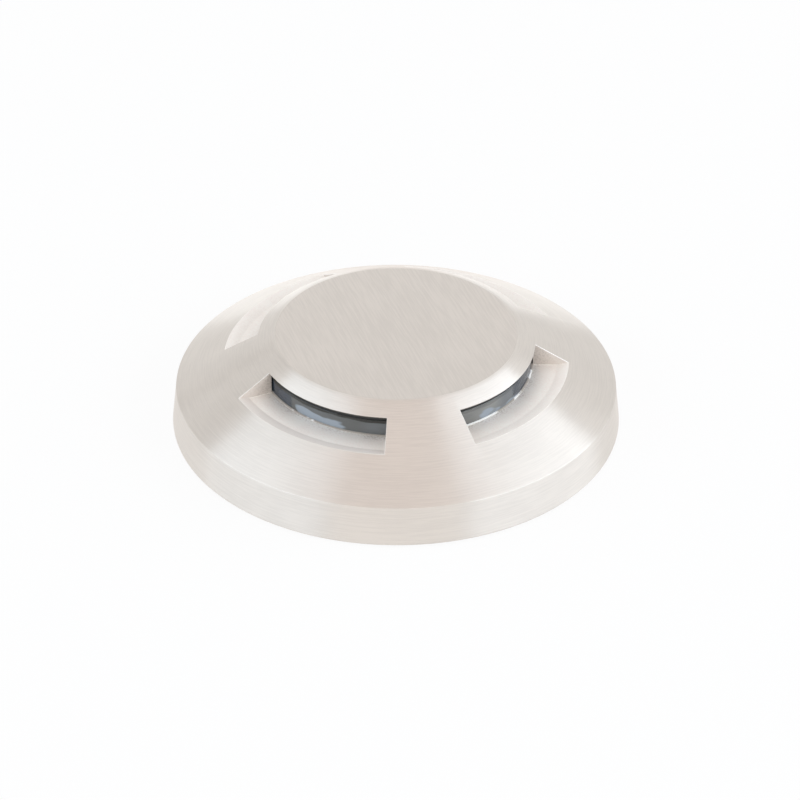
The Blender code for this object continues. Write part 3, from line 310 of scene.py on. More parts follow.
    def finish(self) -> bpy.types.Object:
        """Close the mesh, turn its faces outwards, leave edit mode and return the finished object."""
        self.weld()
        bpy.ops.mesh.normals_make_consistent(inside=False)
        bpy.ops.object.mode_set(mode="OBJECT")
        bpy.ops.object.shade_smooth_by_angle(angle=radians(SMOOTH))
        return self.object


@dataclass(frozen=True)
class Place:
    """A place round the axis, where a piece stands turned to face outwards."""

    radius: float
    azimuth: float
    height: float = 0.0
    upside_down: bool = False


def around(radius: float, azimuths: Iterable[float], height: float = 0.0,
           upside_down: bool = False) -> list[Place]:
    """Places on a circle.

    Args:
        radius: Radius of the circle.
        azimuths: Azimuth of each place, in degrees.
        height: Height of the circle.
        upside_down: Whether pieces hang there instead of standing.

    Returns:
        The places.
    """
    return [Place(radius, azimuth, height, upside_down) for azimuth in azimuths]


def pick(*objects: bpy.types.Object) -> None:
    """Select only these objects and make the first one active."""
    bpy.ops.object.select_all(action="DESELECT")
    for each in objects:
        each.select_set(True)
    bpy.context.view_layer.objects.active = objects[0]


def stand(piece: bpy.types.Object, places: Sequence[Place]) -> list[bpy.types.Object]:
    """Put a piece that was modelled on the axis at the first place, and a copy at each other one.

    Args:
        piece: The piece, whose name the copies take with a number.
        places: Where it goes.

    Returns:
        The piece and its copies, each with its own mesh and its place in that mesh.
    """
    name = piece.name
    pieces = [piece]
    for _ in places[1:]:
        pick(piece)
        bpy.ops.object.duplicate(linked=False)
        pieces.append(bpy.context.active_object)
    for number, (each, place) in enumerate(zip(pieces, places), 1):
        if len(places) > 1:
            each.name = each.data.name = f"{name}_{number}"
        each.location = polar(place.radius, place.azimuth, place.height)
        each.rotation_euler = (pi if place.upside_down else 0.0, 0.0, radians(place.azimuth))
        pick(each)
        bpy.ops.object.transform_apply(location=True, rotation=True, scale=False)
    return pieces


class Cut(Enum):
    """What a tool does to a piece."""

    REMOVE = "DIFFERENCE"
    ADD = "UNION"
    KEEP = "INTERSECT"


def carve(piece: bpy.types.Object, tools: Sequence[bpy.types.Object], cut: Cut = Cut.REMOVE) -> None:
    """Cut a piece with closed meshes, and delete them.

    Args:
        piece: The piece.
        tools: The closed meshes, which don't touch each other.
        cut: Whether they are taken away or added, or only what they hold is kept.
    """
    pick(*tools)
    if len(tools) > 1:
        bpy.ops.object.join()
    tool = tools[0]
    pick(piece)
    modifier = piece.modifiers.new("carve", "BOOLEAN")
    modifier.operation = cut.value
    modifier.solver = "EXACT"
    modifier.object = tool
    bpy.ops.object.modifier_apply(modifier=modifier.name)
    bpy.data.objects.remove(tool, do_unlink=True)
    bpy.ops.object.mode_set(mode="EDIT")
    bpy.ops.mesh.select_all(action="SELECT")
    bpy.ops.mesh.remove_doubles(threshold=MERGE * MM)
    bpy.ops.object.mode_set(mode="OBJECT")
    bpy.ops.object.shade_smooth_by_angle(angle=radians(SMOOTH))


def turned(name: str, outline: Outline, facets: int, edge: float = 0.0) -> bpy.types.Object:
    """Turn a closed outline about the axis.

    Args:
        name: Name of the object.
        outline: Its corners in order. One that starts and ends on the axis makes a solid piece.
        facets: Number of facets round the axis.
        edge: Radius of the rounds on its corners, for an outline that stays off the axis.

    Returns:
        The finished object.
    """
    draft = Draft(name)
    on_axis = outline[0][0] == 0.0
    draft.turn(rounded(outline, edge) if edge else outline if on_axis else outline + outline[:1], facets)
    return draft.finish()


def drill(steps: Outline, facets: int = 24) -> bpy.types.Object:
    """Tool that leaves a round hole.

    Args:
        steps: Radius and height of each corner of the hole's side, from its lower end up.
        facets: Number of facets.

    Returns:
        The closed tool.
    """
    return turned("drill", [(0.0, steps[0][1]), *steps, (0.0, steps[-1][1])], facets)


def wire(name: str, route: Sequence[Vector], radius: float) -> bpy.types.Object:
    """Round wire along a smooth curve through some points.

    Args:
        name: Name of the object.
        route: The points, in millimetres.
        radius: The wire's radius.

    Returns:
        The finished object.
    """
    bpy.ops.object.select_all(action="DESELECT")
    bpy.ops.curve.primitive_bezier_curve_add(radius=MM)
    curve = bpy.context.active_object
    data = curve.data
    data.splines.clear()
    spline = data.splines.new("BEZIER")
    spline.bezier_points.add(len(route) - 1)
    for point, place in zip(spline.bezier_points, route):
        point.co = place * MM
        point.handle_left_type = point.handle_right_type = "AUTO"
    data.resolution_u, data.bevel_resolution, data.bevel_depth = 6, 3, radius * MM
    data.dimensions, data.use_fill_caps = "3D", True
    bpy.ops.object.convert(target="MESH")
    piece = bpy.context.active_object
    piece.name = piece.data.name = name
    piece.data.materials.append(None)
    bpy.ops.object.mode_set(mode="EDIT")
    bpy.ops.mesh.select_all(action="SELECT")
    bpy.ops.mesh.remove_doubles(threshold=MERGE * MM)
    bpy.ops.mesh.normals_make_consistent(inside=False)
    bpy.ops.object.mode_set(mode="OBJECT")
    bpy.ops.object.shade_smooth_by_angle(angle=radians(2 * SMOOTH))
    return piece


@dataclass(frozen=True)
class Screw:
    """A machine screw with a hexagon socket, its shank pointing down from a seat or face at zero."""

    head: float
    head_height: float
    shank: float
    length: float
    socket: float               # radius to its corners
    pitch: float = 0.4
    thread: float = 0.12
    edge: float = 0.08
    facets: int = 32

    def ridges(self, top: float) -> Outline:
        """Outline of the threaded shank and its end.

        Args:
            top: Height where the thread starts.

        Returns:
            The points, down to the axis.
        """
        count = int((self.length + top) / self.pitch) - 1
        outline: Outline = []
        for k in range(count):
            height = top - k * self.pitch
            outline += [(self.shank, height), (self.shank - self.thread, height - self.pitch / 2)]
        return outline + [(self.shank, top - count * self.pitch),
                          (self.shank - 2 * self.thread, -self.length), (0.0, -self.length)]

    def recess(self, piece: bpy.types.Object, top: float) -> bpy.types.Object:
        """Sink a hexagon socket, as deep as its radius, into the head.

        Args:
            piece: The screw.
            top: Height of the head's face.

        Returns:
            The screw.
        """
        floor = top - self.socket
        over = top + 1.0
        steps = [(0.0, floor - self.socket / 4), (self.socket, floor), (self.socket, over), (0.0, over)]
        carve(piece, [turned("socket", steps, 6)])
        return piece

    def flush(self, name: str) -> bpy.types.Object:
        """Screw with a flat sunk head, whose face is at zero."""
        outline = [(0.0, 0.0), (self.head - self.edge, 0.0), (self.head, -self.edge),
                   (self.shank, -self.head_height), *self.ridges(-self.head_height - self.edge)]
        return self.recess(turned(name, outline, self.facets), 0.0)

    def domed(self, name: str) -> bpy.types.Object:
        """Screw with a low round head, whose seat is at zero."""
        bulge = self.head_height / 2
        outline = [(0.0, self.head_height)]
        outline += arc((self.head - bulge, bulge), bulge, 90.0, 0.0, 6)
        outline += [(self.head, self.edge), (self.head - self.edge, 0.0), (self.shank, 0.0)]
        outline += self.ridges(-self.edge)
        return self.recess(turned(name, outline, self.facets), self.head_height)


# Shader maths

class Link:
    """A socket or a number in a material, with arithmetic that adds Math nodes."""

    def __init__(self, board: "Board", source: Any) -> None:
        """Wrap a value.

        Args:
            board: The material's nodes.
            source: An output socket or a number.
        """
        self.board, self.source = board, source

    def maths(self, operation: str, *others: Any) -> "Link":
        """Result of a Math node on this value and others."""
        return self.board.node("ShaderNodeMath", {"operation": operation}, {
            k: value for k, value in enumerate((self, *others))})["Value"]

    def __add__(self, other: Any) -> "Link":
        """Sum."""
        return self.maths("ADD", other)

    __radd__ = __add__

    def __mul__(self, other: Any) -> "Link":
        """Product."""
        return self.maths("MULTIPLY", other)

    __rmul__ = __mul__

    def __sub__(self, other: Any) -> "Link":
        """Difference."""
        return self.maths("SUBTRACT", other)

    def __rsub__(self, other: Any) -> "Link":
        """Difference with the operands the other way round."""
        return self.board.wrap(other).maths("SUBTRACT", self)

    def step(self, low: float, high: float) -> "Link":
        """Smooth step from 0 at low to 1 at high."""
        return self.board.node("ShaderNodeMapRange", {"interpolation_type": "SMOOTHSTEP"}, {
            "Value": self, "From Min": low, "From Max": high})["Result"]


class Outputs:
    """The outputs of a node, by name or number."""

    def __init__(self, board: "Board", node: bpy.types.Node) -> None:
        """Keep a node."""
        self.board, self.node = board, node

    def __getitem__(self, name: str | int) -> Link:
        """One output."""
        return Link(self.board, self.node.outputs[name])


class Board:
    """The nodes of one material or of the world."""

    def __init__(self, tree: bpy.types.NodeTree, owner: bpy.types.ID) -> None:
        """Keep a node tree.

        Args:
            tree: The nodes.
            owner: What they belong to.
        """
        self.tree, self.owner = tree, owner
        self.shader = tree.nodes.get("Principled BSDF")

    @classmethod
    def material(cls, name: str) -> "Board":
        """Start a material with its Principled shader.

        Args:
            name: The finish's name.

        Returns:
            Its nodes.
        """
        material = bpy.data.materials.new(name)
        material.use_nodes = True
        return cls(material.node_tree, material)

    def wrap(self, value: Any) -> Link:
        """A number or link as a link."""
        return value if isinstance(value, Link) else Link(self, value)

    def feed(self, socket: bpy.types.NodeSocket, value: Any) -> None:
        """Set a socket to a value or link it.

        Args:
            socket: The input socket.
            value: A link, a number or a sequence of numbers.
        """
        source = value.source if isinstance(value, Link) else value
        if isinstance(source, bpy.types.NodeSocket):
            self.tree.links.new(source, socket)
        elif socket.type == "RGBA" and len(source) == 3:
            socket.default_value = (*source, 1.0)
        else:
            socket.default_value = source

    def node(self, kind: str, settings: dict[str, Any] | None = None,
             inputs: dict[str | int, Any] | None = None) -> Outputs:
        """Add a node.

        Args:
            kind: The node's type.
            settings: Its own properties, set first.
            inputs: Values or links for its sockets, by name or number.

        Returns:
            Its outputs.
        """
        node = self.tree.nodes.new(kind)
        for key, value in (settings or {}).items():
            setattr(node, key, value)
        for key, value in (inputs or {}).items():
            self.feed(node.inputs[key], value)
        return Outputs(self, node)

    def set(self, **values: Any) -> None:
        """Set the Principled shader's sockets, named with underscores for spaces."""
        for key, value in values.items():
            self.feed(self.shader.inputs[key.replace("_", " ")], value)

    def place(self) -> Link:
        """The point in the piece's own coordinates, in metres."""
        return self.node("ShaderNodeTexCoord")["Object"]

    def stretched(self, scale: Sequence[float], turn: float = 0.0) -> Link:
        """The piece's own coordinates, turned about Z and scaled along their axes.

        Args:
            scale: Scale along each axis, per metre.
            turn: Turn about Z in degrees.

        Returns:
            The new coordinates.
        """
        turned = self.node("ShaderNodeMapping", {}, {
            "Vector": self.place(), "Rotation": (0.0, 0.0, radians(turn))})["Vector"]
        return self.node("ShaderNodeVectorMath", {"operation": "MULTIPLY"}, {
            0: turned, 1: tuple(scale)})["Vector"]

    def noise(self, coordinates: Link, detail: float, rough: float) -> Link:
        """Noise from 0 to 1.

        Args:
            coordinates: Where the noise is read.
            detail: Its number of octaves.
            rough: Strength of the finer octaves.

        Returns:
            The noise.
        """
        return self.node("ShaderNodeTexNoise", {}, {
            "Vector": coordinates, "Scale": 1.0, "Detail": detail, "Roughness": rough})["Fac"]

    def speckle(self, density: float, detail: float, rough: float) -> Link:
        """Noise that is as fine along every axis.

        Args:
            density: Its spots for each metre.
            detail: Its number of octaves.
            rough: Strength of the finer octaves.

        Returns:
            The noise.
        """
        return self.noise(self.stretched([density] * 3), detail, rough)

    def rings(self, across: float, along: float) -> Link:
        """Coordinates for lines that run round the axis.

        Args:
            across: Lines for each metre of radius and of height.
            along: Breaks round a whole turn.

        Returns:
            The coordinates.
        """
        spoke = self.node("ShaderNodeVectorMath", {"operation": "SCALE"}, {
            0: self.spoke(), "Scale": along})["Vector"]
        climb = (self.radius() - self.height()) * across
        lift = self.node("ShaderNodeCombineXYZ", {}, {"Z": climb})["Vector"]
        return self.node("ShaderNodeVectorMath", {"operation": "ADD"}, {0: spoke, 1: lift})["Vector"]

    def near(self, azimuths: Iterable[float], half: float, core: float = 0.33) -> Link:
        """Mask of some directions from the axis.

        Args:
            azimuths: The directions, in degrees.
            half: Angle to each side where the mask ends.
            core: Share of that angle inside which it is 1.

        Returns:
            1 along each direction, falling to 0.
        """
        total = Link(self, 0.0)
        for azimuth in azimuths:
            towards = self.node("ShaderNodeVectorMath", {"operation": "DOT_PRODUCT"}, {
                0: self.spoke(), 1: tuple(polar(1 / MM, azimuth))})["Value"]
            total = total + towards.step(cos(radians(half)), cos(radians(half * core)))
        return total

    def height(self) -> Link:
        """Height in metres."""
        return self.node("ShaderNodeSeparateXYZ", {}, {0: self.place()})["Z"]

    def spoke(self) -> Link:
        """Direction outwards from the axis."""
        return self.node("ShaderNodeVectorMath", {"operation": "NORMALIZE"}, {0: self.flat()})["Vector"]

    def flat(self) -> Link:
        """The point's place with its height left out."""
        return self.node("ShaderNodeVectorMath", {"operation": "MULTIPLY"}, {
            0: self.place(), 1: (1.0, 1.0, 0.0)})["Vector"]

    def radius(self) -> Link:
        """Distance from the axis, in metres."""
        return self.node("ShaderNodeVectorMath", {"operation": "LENGTH"}, {0: self.flat()})["Value"]

    def mix(self, factor: Any, first: Any, second: Any) -> Link:
        """A colour between two others.

        Args:
            factor: 0 gives the first and 1 the second.
            first: A colour or link.
            second: A colour or link.

        Returns:
            The mixed colour.
        """
        return self.node("ShaderNodeMix", {"data_type": "RGBA"}, {0: factor, 6: first, 7: second})[2]

    def bump(self, height: Link, depth: float) -> None:
        """Give the shader a bumpy normal.

        Args:
            height: Height from 0 to 1.
            depth: Depth of the bumps in metres.
        """
        normal = self.node("ShaderNodeBump", {}, {
            "Height": height, "Distance": depth, "Strength": 1.0})["Normal"]
        self.set(Normal=normal)

    def two_tone(self, tone: Link, colour: Colour, contrast: float) -> Link:
        """A colour that varies to both sides.

        Args:
            tone: 0 gives the darker and 1 the lighter shade.
            colour: The colour between them.
            contrast: Share by which each shade differs from it.

        Returns:
            The colour.
        """
        return self.mix(tone, shade(colour, 1 - contrast), shade(colour, 1 + contrast))


def shade(colour: Colour, factor: float) -> Colour:
    """A colour made lighter or darker, with no channel past 1."""
    return tuple(min(channel * factor, 1.0) for channel in colour)


@dataclass(frozen=True)
class TurnedMetal:
    """Metal with fine lines that run round its axis, as a lathe or a brush leaves them."""

    name: str = "turned_steel"
    colour: Colour = (0.750, 0.704, 0.656)
    roughness: float = 0.38
    anisotropy: float = 1.0
    rotation: float = 0.25
    lines: float = 2300.0       # for each metre across them
    breaks: float = 5.0
    contrast: float = 0.035
    depth: float = 0.000006

    def make(self) -> bpy.types.Material:
        """Build the material."""
        board = Board.material(self.name)
        lines = board.noise(board.rings(self.lines, self.breaks), 3.0, 0.65)
        patches = board.speckle(140.0, 2.0, 0.5)
        tone = (lines * 0.75 + patches * 0.25).step(0.38, 0.62)
        board.set(Base_Color=board.two_tone(tone, self.colour, self.contrast), Metallic=1.0,
                  Anisotropic=self.anisotropy, Anisotropic_Rotation=self.rotation,
                  Roughness=self.roughness + (lines - 0.5) * 0.1)
        board.bump(lines, self.depth)
        return board.owner


@dataclass(frozen=True)
class BrushedMetal:
    """Stainless steel brushed straight across, on the flat top."""

    name: str = "brushed_top"
    # Darker than the cone's steel: painted shade on the flat top.
    colour: Colour = (0.640, 0.596, 0.552)
    roughness: float = 0.45
    direction: float = -37.5    # of the brush lines, from +X towards +Y
    contrast: float = 0.04
    depth: float = 0.000006

    def make(self) -> bpy.types.Material:
        """Build the material."""
        board = Board.material(self.name)
        lines = board.noise(board.stretched((130.0, 2300.0, 130.0), -self.direction), 3.0, 0.6)
        patches = board.noise(board.stretched((60.0, 110.0, 60.0), -self.direction), 1.0, 0.5)
        tone = (lines * 0.8 + patches * 0.2).step(0.36, 0.64)
        board.set(Base_Color=board.two_tone(tone, self.colour, self.contrast), Metallic=1.0,
                  Roughness=self.roughness + (lines - 0.5) * 0.1)
        board.bump(lines, self.depth)
        return board.owner


@dataclass(frozen=True)
class PocketSteel:
    """Matte, slightly pitted steel inside the pockets, with dirt left beside the lens and painted shade on
    the outer ramp.
    """

    name: str = "pocket_steel"
    colour: Colour = (1.0, 0.945, 0.895)
    dirt: Colour = (0.42, 0.37, 0.32)
    roughness: float = 0.6
    metallic: float = 0.5
    dirty_radius: float = 0.0304
    clean_radius: float = 0.0330
    ramp_radius: float = 0.0355
    # Share of the colour left on the outer ramp, whose darker band is painted shade.
    painted_ramp_shade: float = 0.82
    unlit_pockets: tuple[float, ...] = (-90.0,)      # azimuth of the pocket whose ramp gets the most painted shade, the one the key light doesn't reach

    def make(self) -> bpy.types.Material:
        """Build the material."""
        board = Board.material(self.name)
        near = 1 - board.radius().step(self.dirty_radius, self.clean_radius)
        # Painted shade on the outer ramp: some in every pocket, most in the one the key light doesn't reach.
        ramp_shade_mask = board.radius().step(self.ramp_radius, self.ramp_radius + 0.0004)
        ramp_shade_mask = ramp_shade_mask * (board.near(self.unlit_pockets, 40.0, 0.8) * 0.65 + 0.25)
        grain = board.speckle(2400.0, 3.0, 0.65)
        stains = board.speckle(240.0, 3.0, 0.6)
        specks = (grain + near * 0.06 + (stains - 0.5) * 0.55).step(0.54, 0.70)
        tone = (grain * 0.65 + stains * 0.35).step(0.38, 0.60)
        base = board.mix(tone, shade(self.colour, 1.03), shade(self.colour, 0.985))
        base = board.mix(ramp_shade_mask, base, shade(self.colour, self.painted_ramp_shade))
        board.set(Base_Color=board.mix(specks * (0.04 + near * 0.36), base, self.dirt),
                  Metallic=self.metallic, Roughness=self.roughness + (grain - 0.5) * 0.2)
        board.bump(grain, 0.00003)
        return board.owner


@dataclass(frozen=True)
class Plain:
    """A finish with a fine grain: moulded, cast, printed or coated."""

    name: str
    colour: Colour
    roughness: float = 0.5
    metallic: float = 0.0
    grain: float = 1500.0
    depth: float = 0.00001
    contrast: float = 0.08

    def make(self) -> bpy.types.Material:
        """Build the material."""
        board = Board.material(self.name)
        grain = board.speckle(self.grain, 3.0, 0.6)
        patches = board.speckle(self.grain / 12, 2.0, 0.5)
        tone = (grain * 0.6 + patches * 0.4).step(0.3, 0.7)
        board.set(Base_Color=board.two_tone(tone, self.colour, self.contrast),
                  Metallic=self.metallic, Roughness=self.roughness + (grain - 0.5) * 0.2)
        board.bump(grain, self.depth)
        return board.owner


@dataclass(frozen=True)
class Traced:
    """Lacquer over copper tracks, which show through a little lighter."""

    name: str
    colour: Colour
    track: Colour
    roughness: float = 0.35

    def make(self) -> bpy.types.Material:
        """Build the material."""
        board = Board.material(self.name)
        cells = board.node("ShaderNodeTexVoronoi", {"distance": "CHEBYCHEV", "feature": "F1"}, {
            "Vector": board.stretched((1.0, 1.0, 0.0)), "Scale": 160.0, "Randomness": 0.6})["Distance"]
        grain = board.speckle(1800.0, 2.0, 0.5)
        tracks = cells.step(0.30, 0.33) * (1 - cells.step(0.42, 0.45))
        board.set(Base_Color=board.mix(tracks * 0.8, self.colour, self.track),
                  Roughness=self.roughness + (grain - 0.5) * 0.15)
        board.bump(tracks + grain * 0.2, 0.00002)
        return board.owner


@dataclass(frozen=True)
class LensWithPaintedLight:
    """Clear cast lens, partly see-through, whose colour paints what shows in it: a dark grey base tone for
    the dark inside, in each window a pale patch of painted reflection, a darker end of painted shade and a
    dark upper edge of painted shadow under the roof, and in two windows a lighter end of painted light.
    """

    name: str = "clear_lens"
    # Base tones, a dark grey painted for the dark inside seen through the lens.
    deep: Colour = (0.19, 0.195, 0.19)
    shallow: Colour = (0.25, 0.27, 0.285)
    # Colours of painted shade, painted light, painted reflection and the painted shadow under the roof, in
    # this order.
    slate: Colour = (0.085, 0.105, 0.135)
    lit_tint: Colour = (0.42, 0.42, 0.40)
    reflection_tint: Colour = (0.50, 0.57, 0.65)
    dark: Colour = (0.045, 0.045, 0.04)
    clearness: float = 0.45
    shaded_ends: tuple[float, ...] = (16.0, -120.0, 104.0, 196.0)    # azimuths of the ends in painted shade
    shaded_end_half: float = 16.0
    lit_ends: tuple[float, ...] = (-24.0, 70.0)                    # of the ends in painted light
    lit_end_half: float = 20.0
    shaded: tuple[float, ...] = (-90.0, 180.0)                  # of the darkest painted shadow along the upper edge
    patches: tuple[float, ...] = (-91.0, -7.0, 84.0, 172.0)     # of the pale patches, painted reflections
    reflection_half: float = 18.0
    reflection_top: float = 0.0172
    roof_shadow_foot: float = 0.0179
    depth: float = 0.0003

    def make(self) -> bpy.types.Material:
        """Build the material."""
        board = Board.material(self.name)
        waves = board.noise(board.stretched((170.0, 170.0, 420.0)), 2.0, 0.45)
        broad = board.noise(board.stretched((70.0, 70.0, 160.0)), 1.0, 0.5)
        height = board.height()
        # Painted reflection: pale patches low in each window.
        low = 1 - (height + (broad - 0.5) * 0.004).step(self.reflection_top - 0.0012, self.reflection_top + 0.0006)
        painted_reflection = (board.near(self.patches, self.reflection_half) * low * 0.6 + waves).step(0.86, 1.02)
        # Painted shade: a dark grey base tone, darker towards the listed ends; painted light at two other
        # ends.
        tone = board.mix(broad.step(0.35, 0.65), self.deep, self.shallow)
        tone = board.mix(board.near(self.shaded_ends, self.shaded_end_half, 0.8), tone, self.slate)
        tone = board.mix(board.near(self.lit_ends, self.lit_end_half, 0.6) * (waves + 0.2), tone, self.lit_tint)
        tone = board.mix(painted_reflection, tone, self.reflection_tint)
        # Painted shadow of the roof along the upper edge, strongest at the shaded azimuths.
        edge = (height + (waves - 0.5) * 0.001).step(self.roof_shadow_foot, self.roof_shadow_foot + 0.0003)
        tone = board.mix(edge * (board.near(self.shaded, 40.0, 0.8) * 0.7 + 0.3), tone, self.dark)
        board.set(Base_Color=tone, Roughness=0.04 + waves * 0.05, IOR=1.46,
                  Transmission_Weight=self.clearness)
        board.bump(waves, self.depth)
        return board.owner


@dataclass(frozen=True)
class Sealant:
    """White sealing bead along the foot of the lens: white only at listed azimuths, where the white is a
    painted glint, and darker elsewhere.
    """

    name: str = "sealant"
    glint_white: Colour = (0.95, 0.94, 0.92)
    dim_bead: Colour = (0.40, 0.36, 0.32)
    glints: tuple[float, ...] = (-21.0, 76.0, 201.0)     # azimuths of the painted glint, where the bead shows white
    glint_half: float = 14.0
    glint_bits: tuple[float, ...] = (5.0, 22.0, 99.0, 176.0)    # the same painted glint, in short bits
    glint_bit_half: float = 4.5

    def make(self) -> bpy.types.Material:
        """Build the material."""
        board = Board.material(self.name)
        stains = board.speckle(320.0, 3.0, 0.7)
        grain = board.speckle(2000.0, 2.0, 0.6)
        # Painted glint: the bead turns white at the listed azimuths.
        glints = board.near(self.glints, self.glint_half) + board.near(self.glint_bits, self.glint_bit_half) * 0.38
        tone = (stains + glints * 0.4 + grain * 0.1).step(0.62, 0.76)
        board.set(Base_Color=board.mix(tone, self.dim_bead, self.glint_white), Roughness=0.3 + grain * 0.2)
        board.bump(grain, 0.00002)
        return board.owner


class Finishes:
    """Every finish, made once."""

    def __init__(self) -> None:
        """Make the materials."""
        self.brushed = BrushedMetal().make()
        self.pocket = PocketSteel().make()
        # The end walls get a darker copy of the pocket steel: painted shade on the upright walls.
        self.shaded_end_wall = PocketSteel("shaded_end_wall_steel", (0.70, 0.63, 0.57), metallic=0.35, clean_radius=0.0370,
                                    painted_ramp_shade=1.0).make()
        # The roof's lip gets a near-black copy of the pocket steel: painted shadow under the roof.
        self.roof_shadow = PocketSteel("roof_shadow_steel", (0.12, 0.115, 0.105)).make()
        self.machined = TurnedMetal("machined_steel", (0.55, 0.53, 0.50), 0.4, 0.6).make()
        # Bright smooth metal on the pockets' rounded edges: a burnished edge whose thin bright lines are
        # partly painted highlight.
        self.edge_highlight = Plain("edge_highlight_steel", (0.95, 0.93, 0.91), 0.3, 1.0, depth=0.000002).make()
        self.phosphor = Plain("phosphor", (0.82, 0.72, 0.38), 0.35).make()
        self.tinned = Plain("tinned_pad", (0.66, 0.67, 0.68), 0.35, 1.0).make()
        self.sealant = Sealant().make()
        named_as_slots = (
            LensWithPaintedLight(),
            Plain("screw_steel", (0.56, 0.56, 0.56), 0.35, 1.0, 2500.0, 0.000003),
            TurnedMetal("spring_steel", (0.30, 0.31, 0.33), 0.4, 0.5, contrast=0.1),
            Plain("black_rubber", (0.018, 0.018, 0.018), 0.7, contrast=0.4),
            TurnedMetal("polished_aluminium", (0.86, 0.87, 0.88), 0.16, 0.6, depth=0.000002),
            Plain("cast_aluminium", (0.50, 0.51, 0.52), 0.5, 1.0, 1200.0, 0.00006),
            Plain("black_nylon", (0.028, 0.028, 0.030), 0.5, contrast=0.25),
            Plain("thermal_pad", (0.45, 0.55, 0.62), 0.8),
            Traced("dark_board", (0.030, 0.042, 0.048), (0.055, 0.075, 0.085)),
            Traced("green_board", (0.02, 0.16, 0.07), (0.05, 0.28, 0.12)),
            Plain("chip_moulding", (0.025, 0.025, 0.028), 0.5),
            Plain("capacitor_sleeve", (0.05, 0.07, 0.16), 0.35),
            Plain("inductor_core", (0.30, 0.16, 0.09), 0.5),
            Plain("green_terminal", (0.05, 0.30, 0.14), 0.45),
            Plain("chip_ceramic", (0.50, 0.38, 0.25), 0.5),
            Plain("red_insulation", (0.50, 0.03, 0.03), 0.45),
            Plain("black_insulation", (0.02, 0.02, 0.02), 0.45),
        )
        self.by_slot = {finish.name: finish.make() for finish in named_as_slots}
        self.by_slot["brushed_stainless"] = TurnedMetal().make()
        self.by_slot["emitter"] = Plain("emitter_package", (0.86, 0.86, 0.83), 0.4).make()

    def __getitem__(self, slot: str) -> bpy.types.Material:
        """The finish of a material slot."""
        return self.by_slot[slot]


def settle(piece: bpy.types.Object, body: Body, materials: Sequence[bpy.types.Material],
           nodes: Iterable[str]) -> None:
    """Dress a finished piece and hang it on its body.

    Args:
        piece: The finished object.
        body: The body it moves with.
        materials: One material for each of its slots.
        nodes: The nodes that it stands for.
    """
    for k, material in enumerate(materials):
        piece.data.materials[k] = material
    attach(piece, body.value)
    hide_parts(*nodes)
    log.info("%s: %d faces", piece.name, len(piece.data.polygons))


def settle_plain(piece: bpy.types.Object, body: Body, slot: str, finishes: Finishes, node: str) -> None:
    """Dress and hang a piece that has one finish and stands for one node.

    Args:
        piece: The finished object.
        body: The body it moves with.
        slot: The record's material slot, whose finish it takes.
        finishes: The materials.
        node: The node that it stands for.
    """
    settle(piece, body, [finishes[slot]], [node])


def settle_row(pieces: Sequence[bpy.types.Object], body: Body, slot: str, finishes: Finishes,
               node: str) -> None:
    """Dress and hang pieces that stand for numbered nodes.

    Args:
        pieces: The finished objects, in the order of the nodes.
        body: The body they move with.
        slot: The record's material slot, whose finish they take.
        finishes: The materials.
        node: The nodes' name before its number.
    """
    for number, piece in enumerate(pieces, 1):
        settle_plain(piece, body, slot, finishes, f"{node}_{number}")


def combine(pieces: Sequence[bpy.types.Object], materials: Sequence[bpy.types.Material]) -> bpy.types.Object:
    """Join pieces of unlike material into the first of them.

    Args:
        pieces: The objects.
        materials: One material for each.

    Returns:
        The first object, with the materials in its slots.
    """
    for piece, material in zip(pieces, materials):
        piece.data.materials[0] = material
    pick(*pieces)
    bpy.ops.object.join()
    return pieces[0]


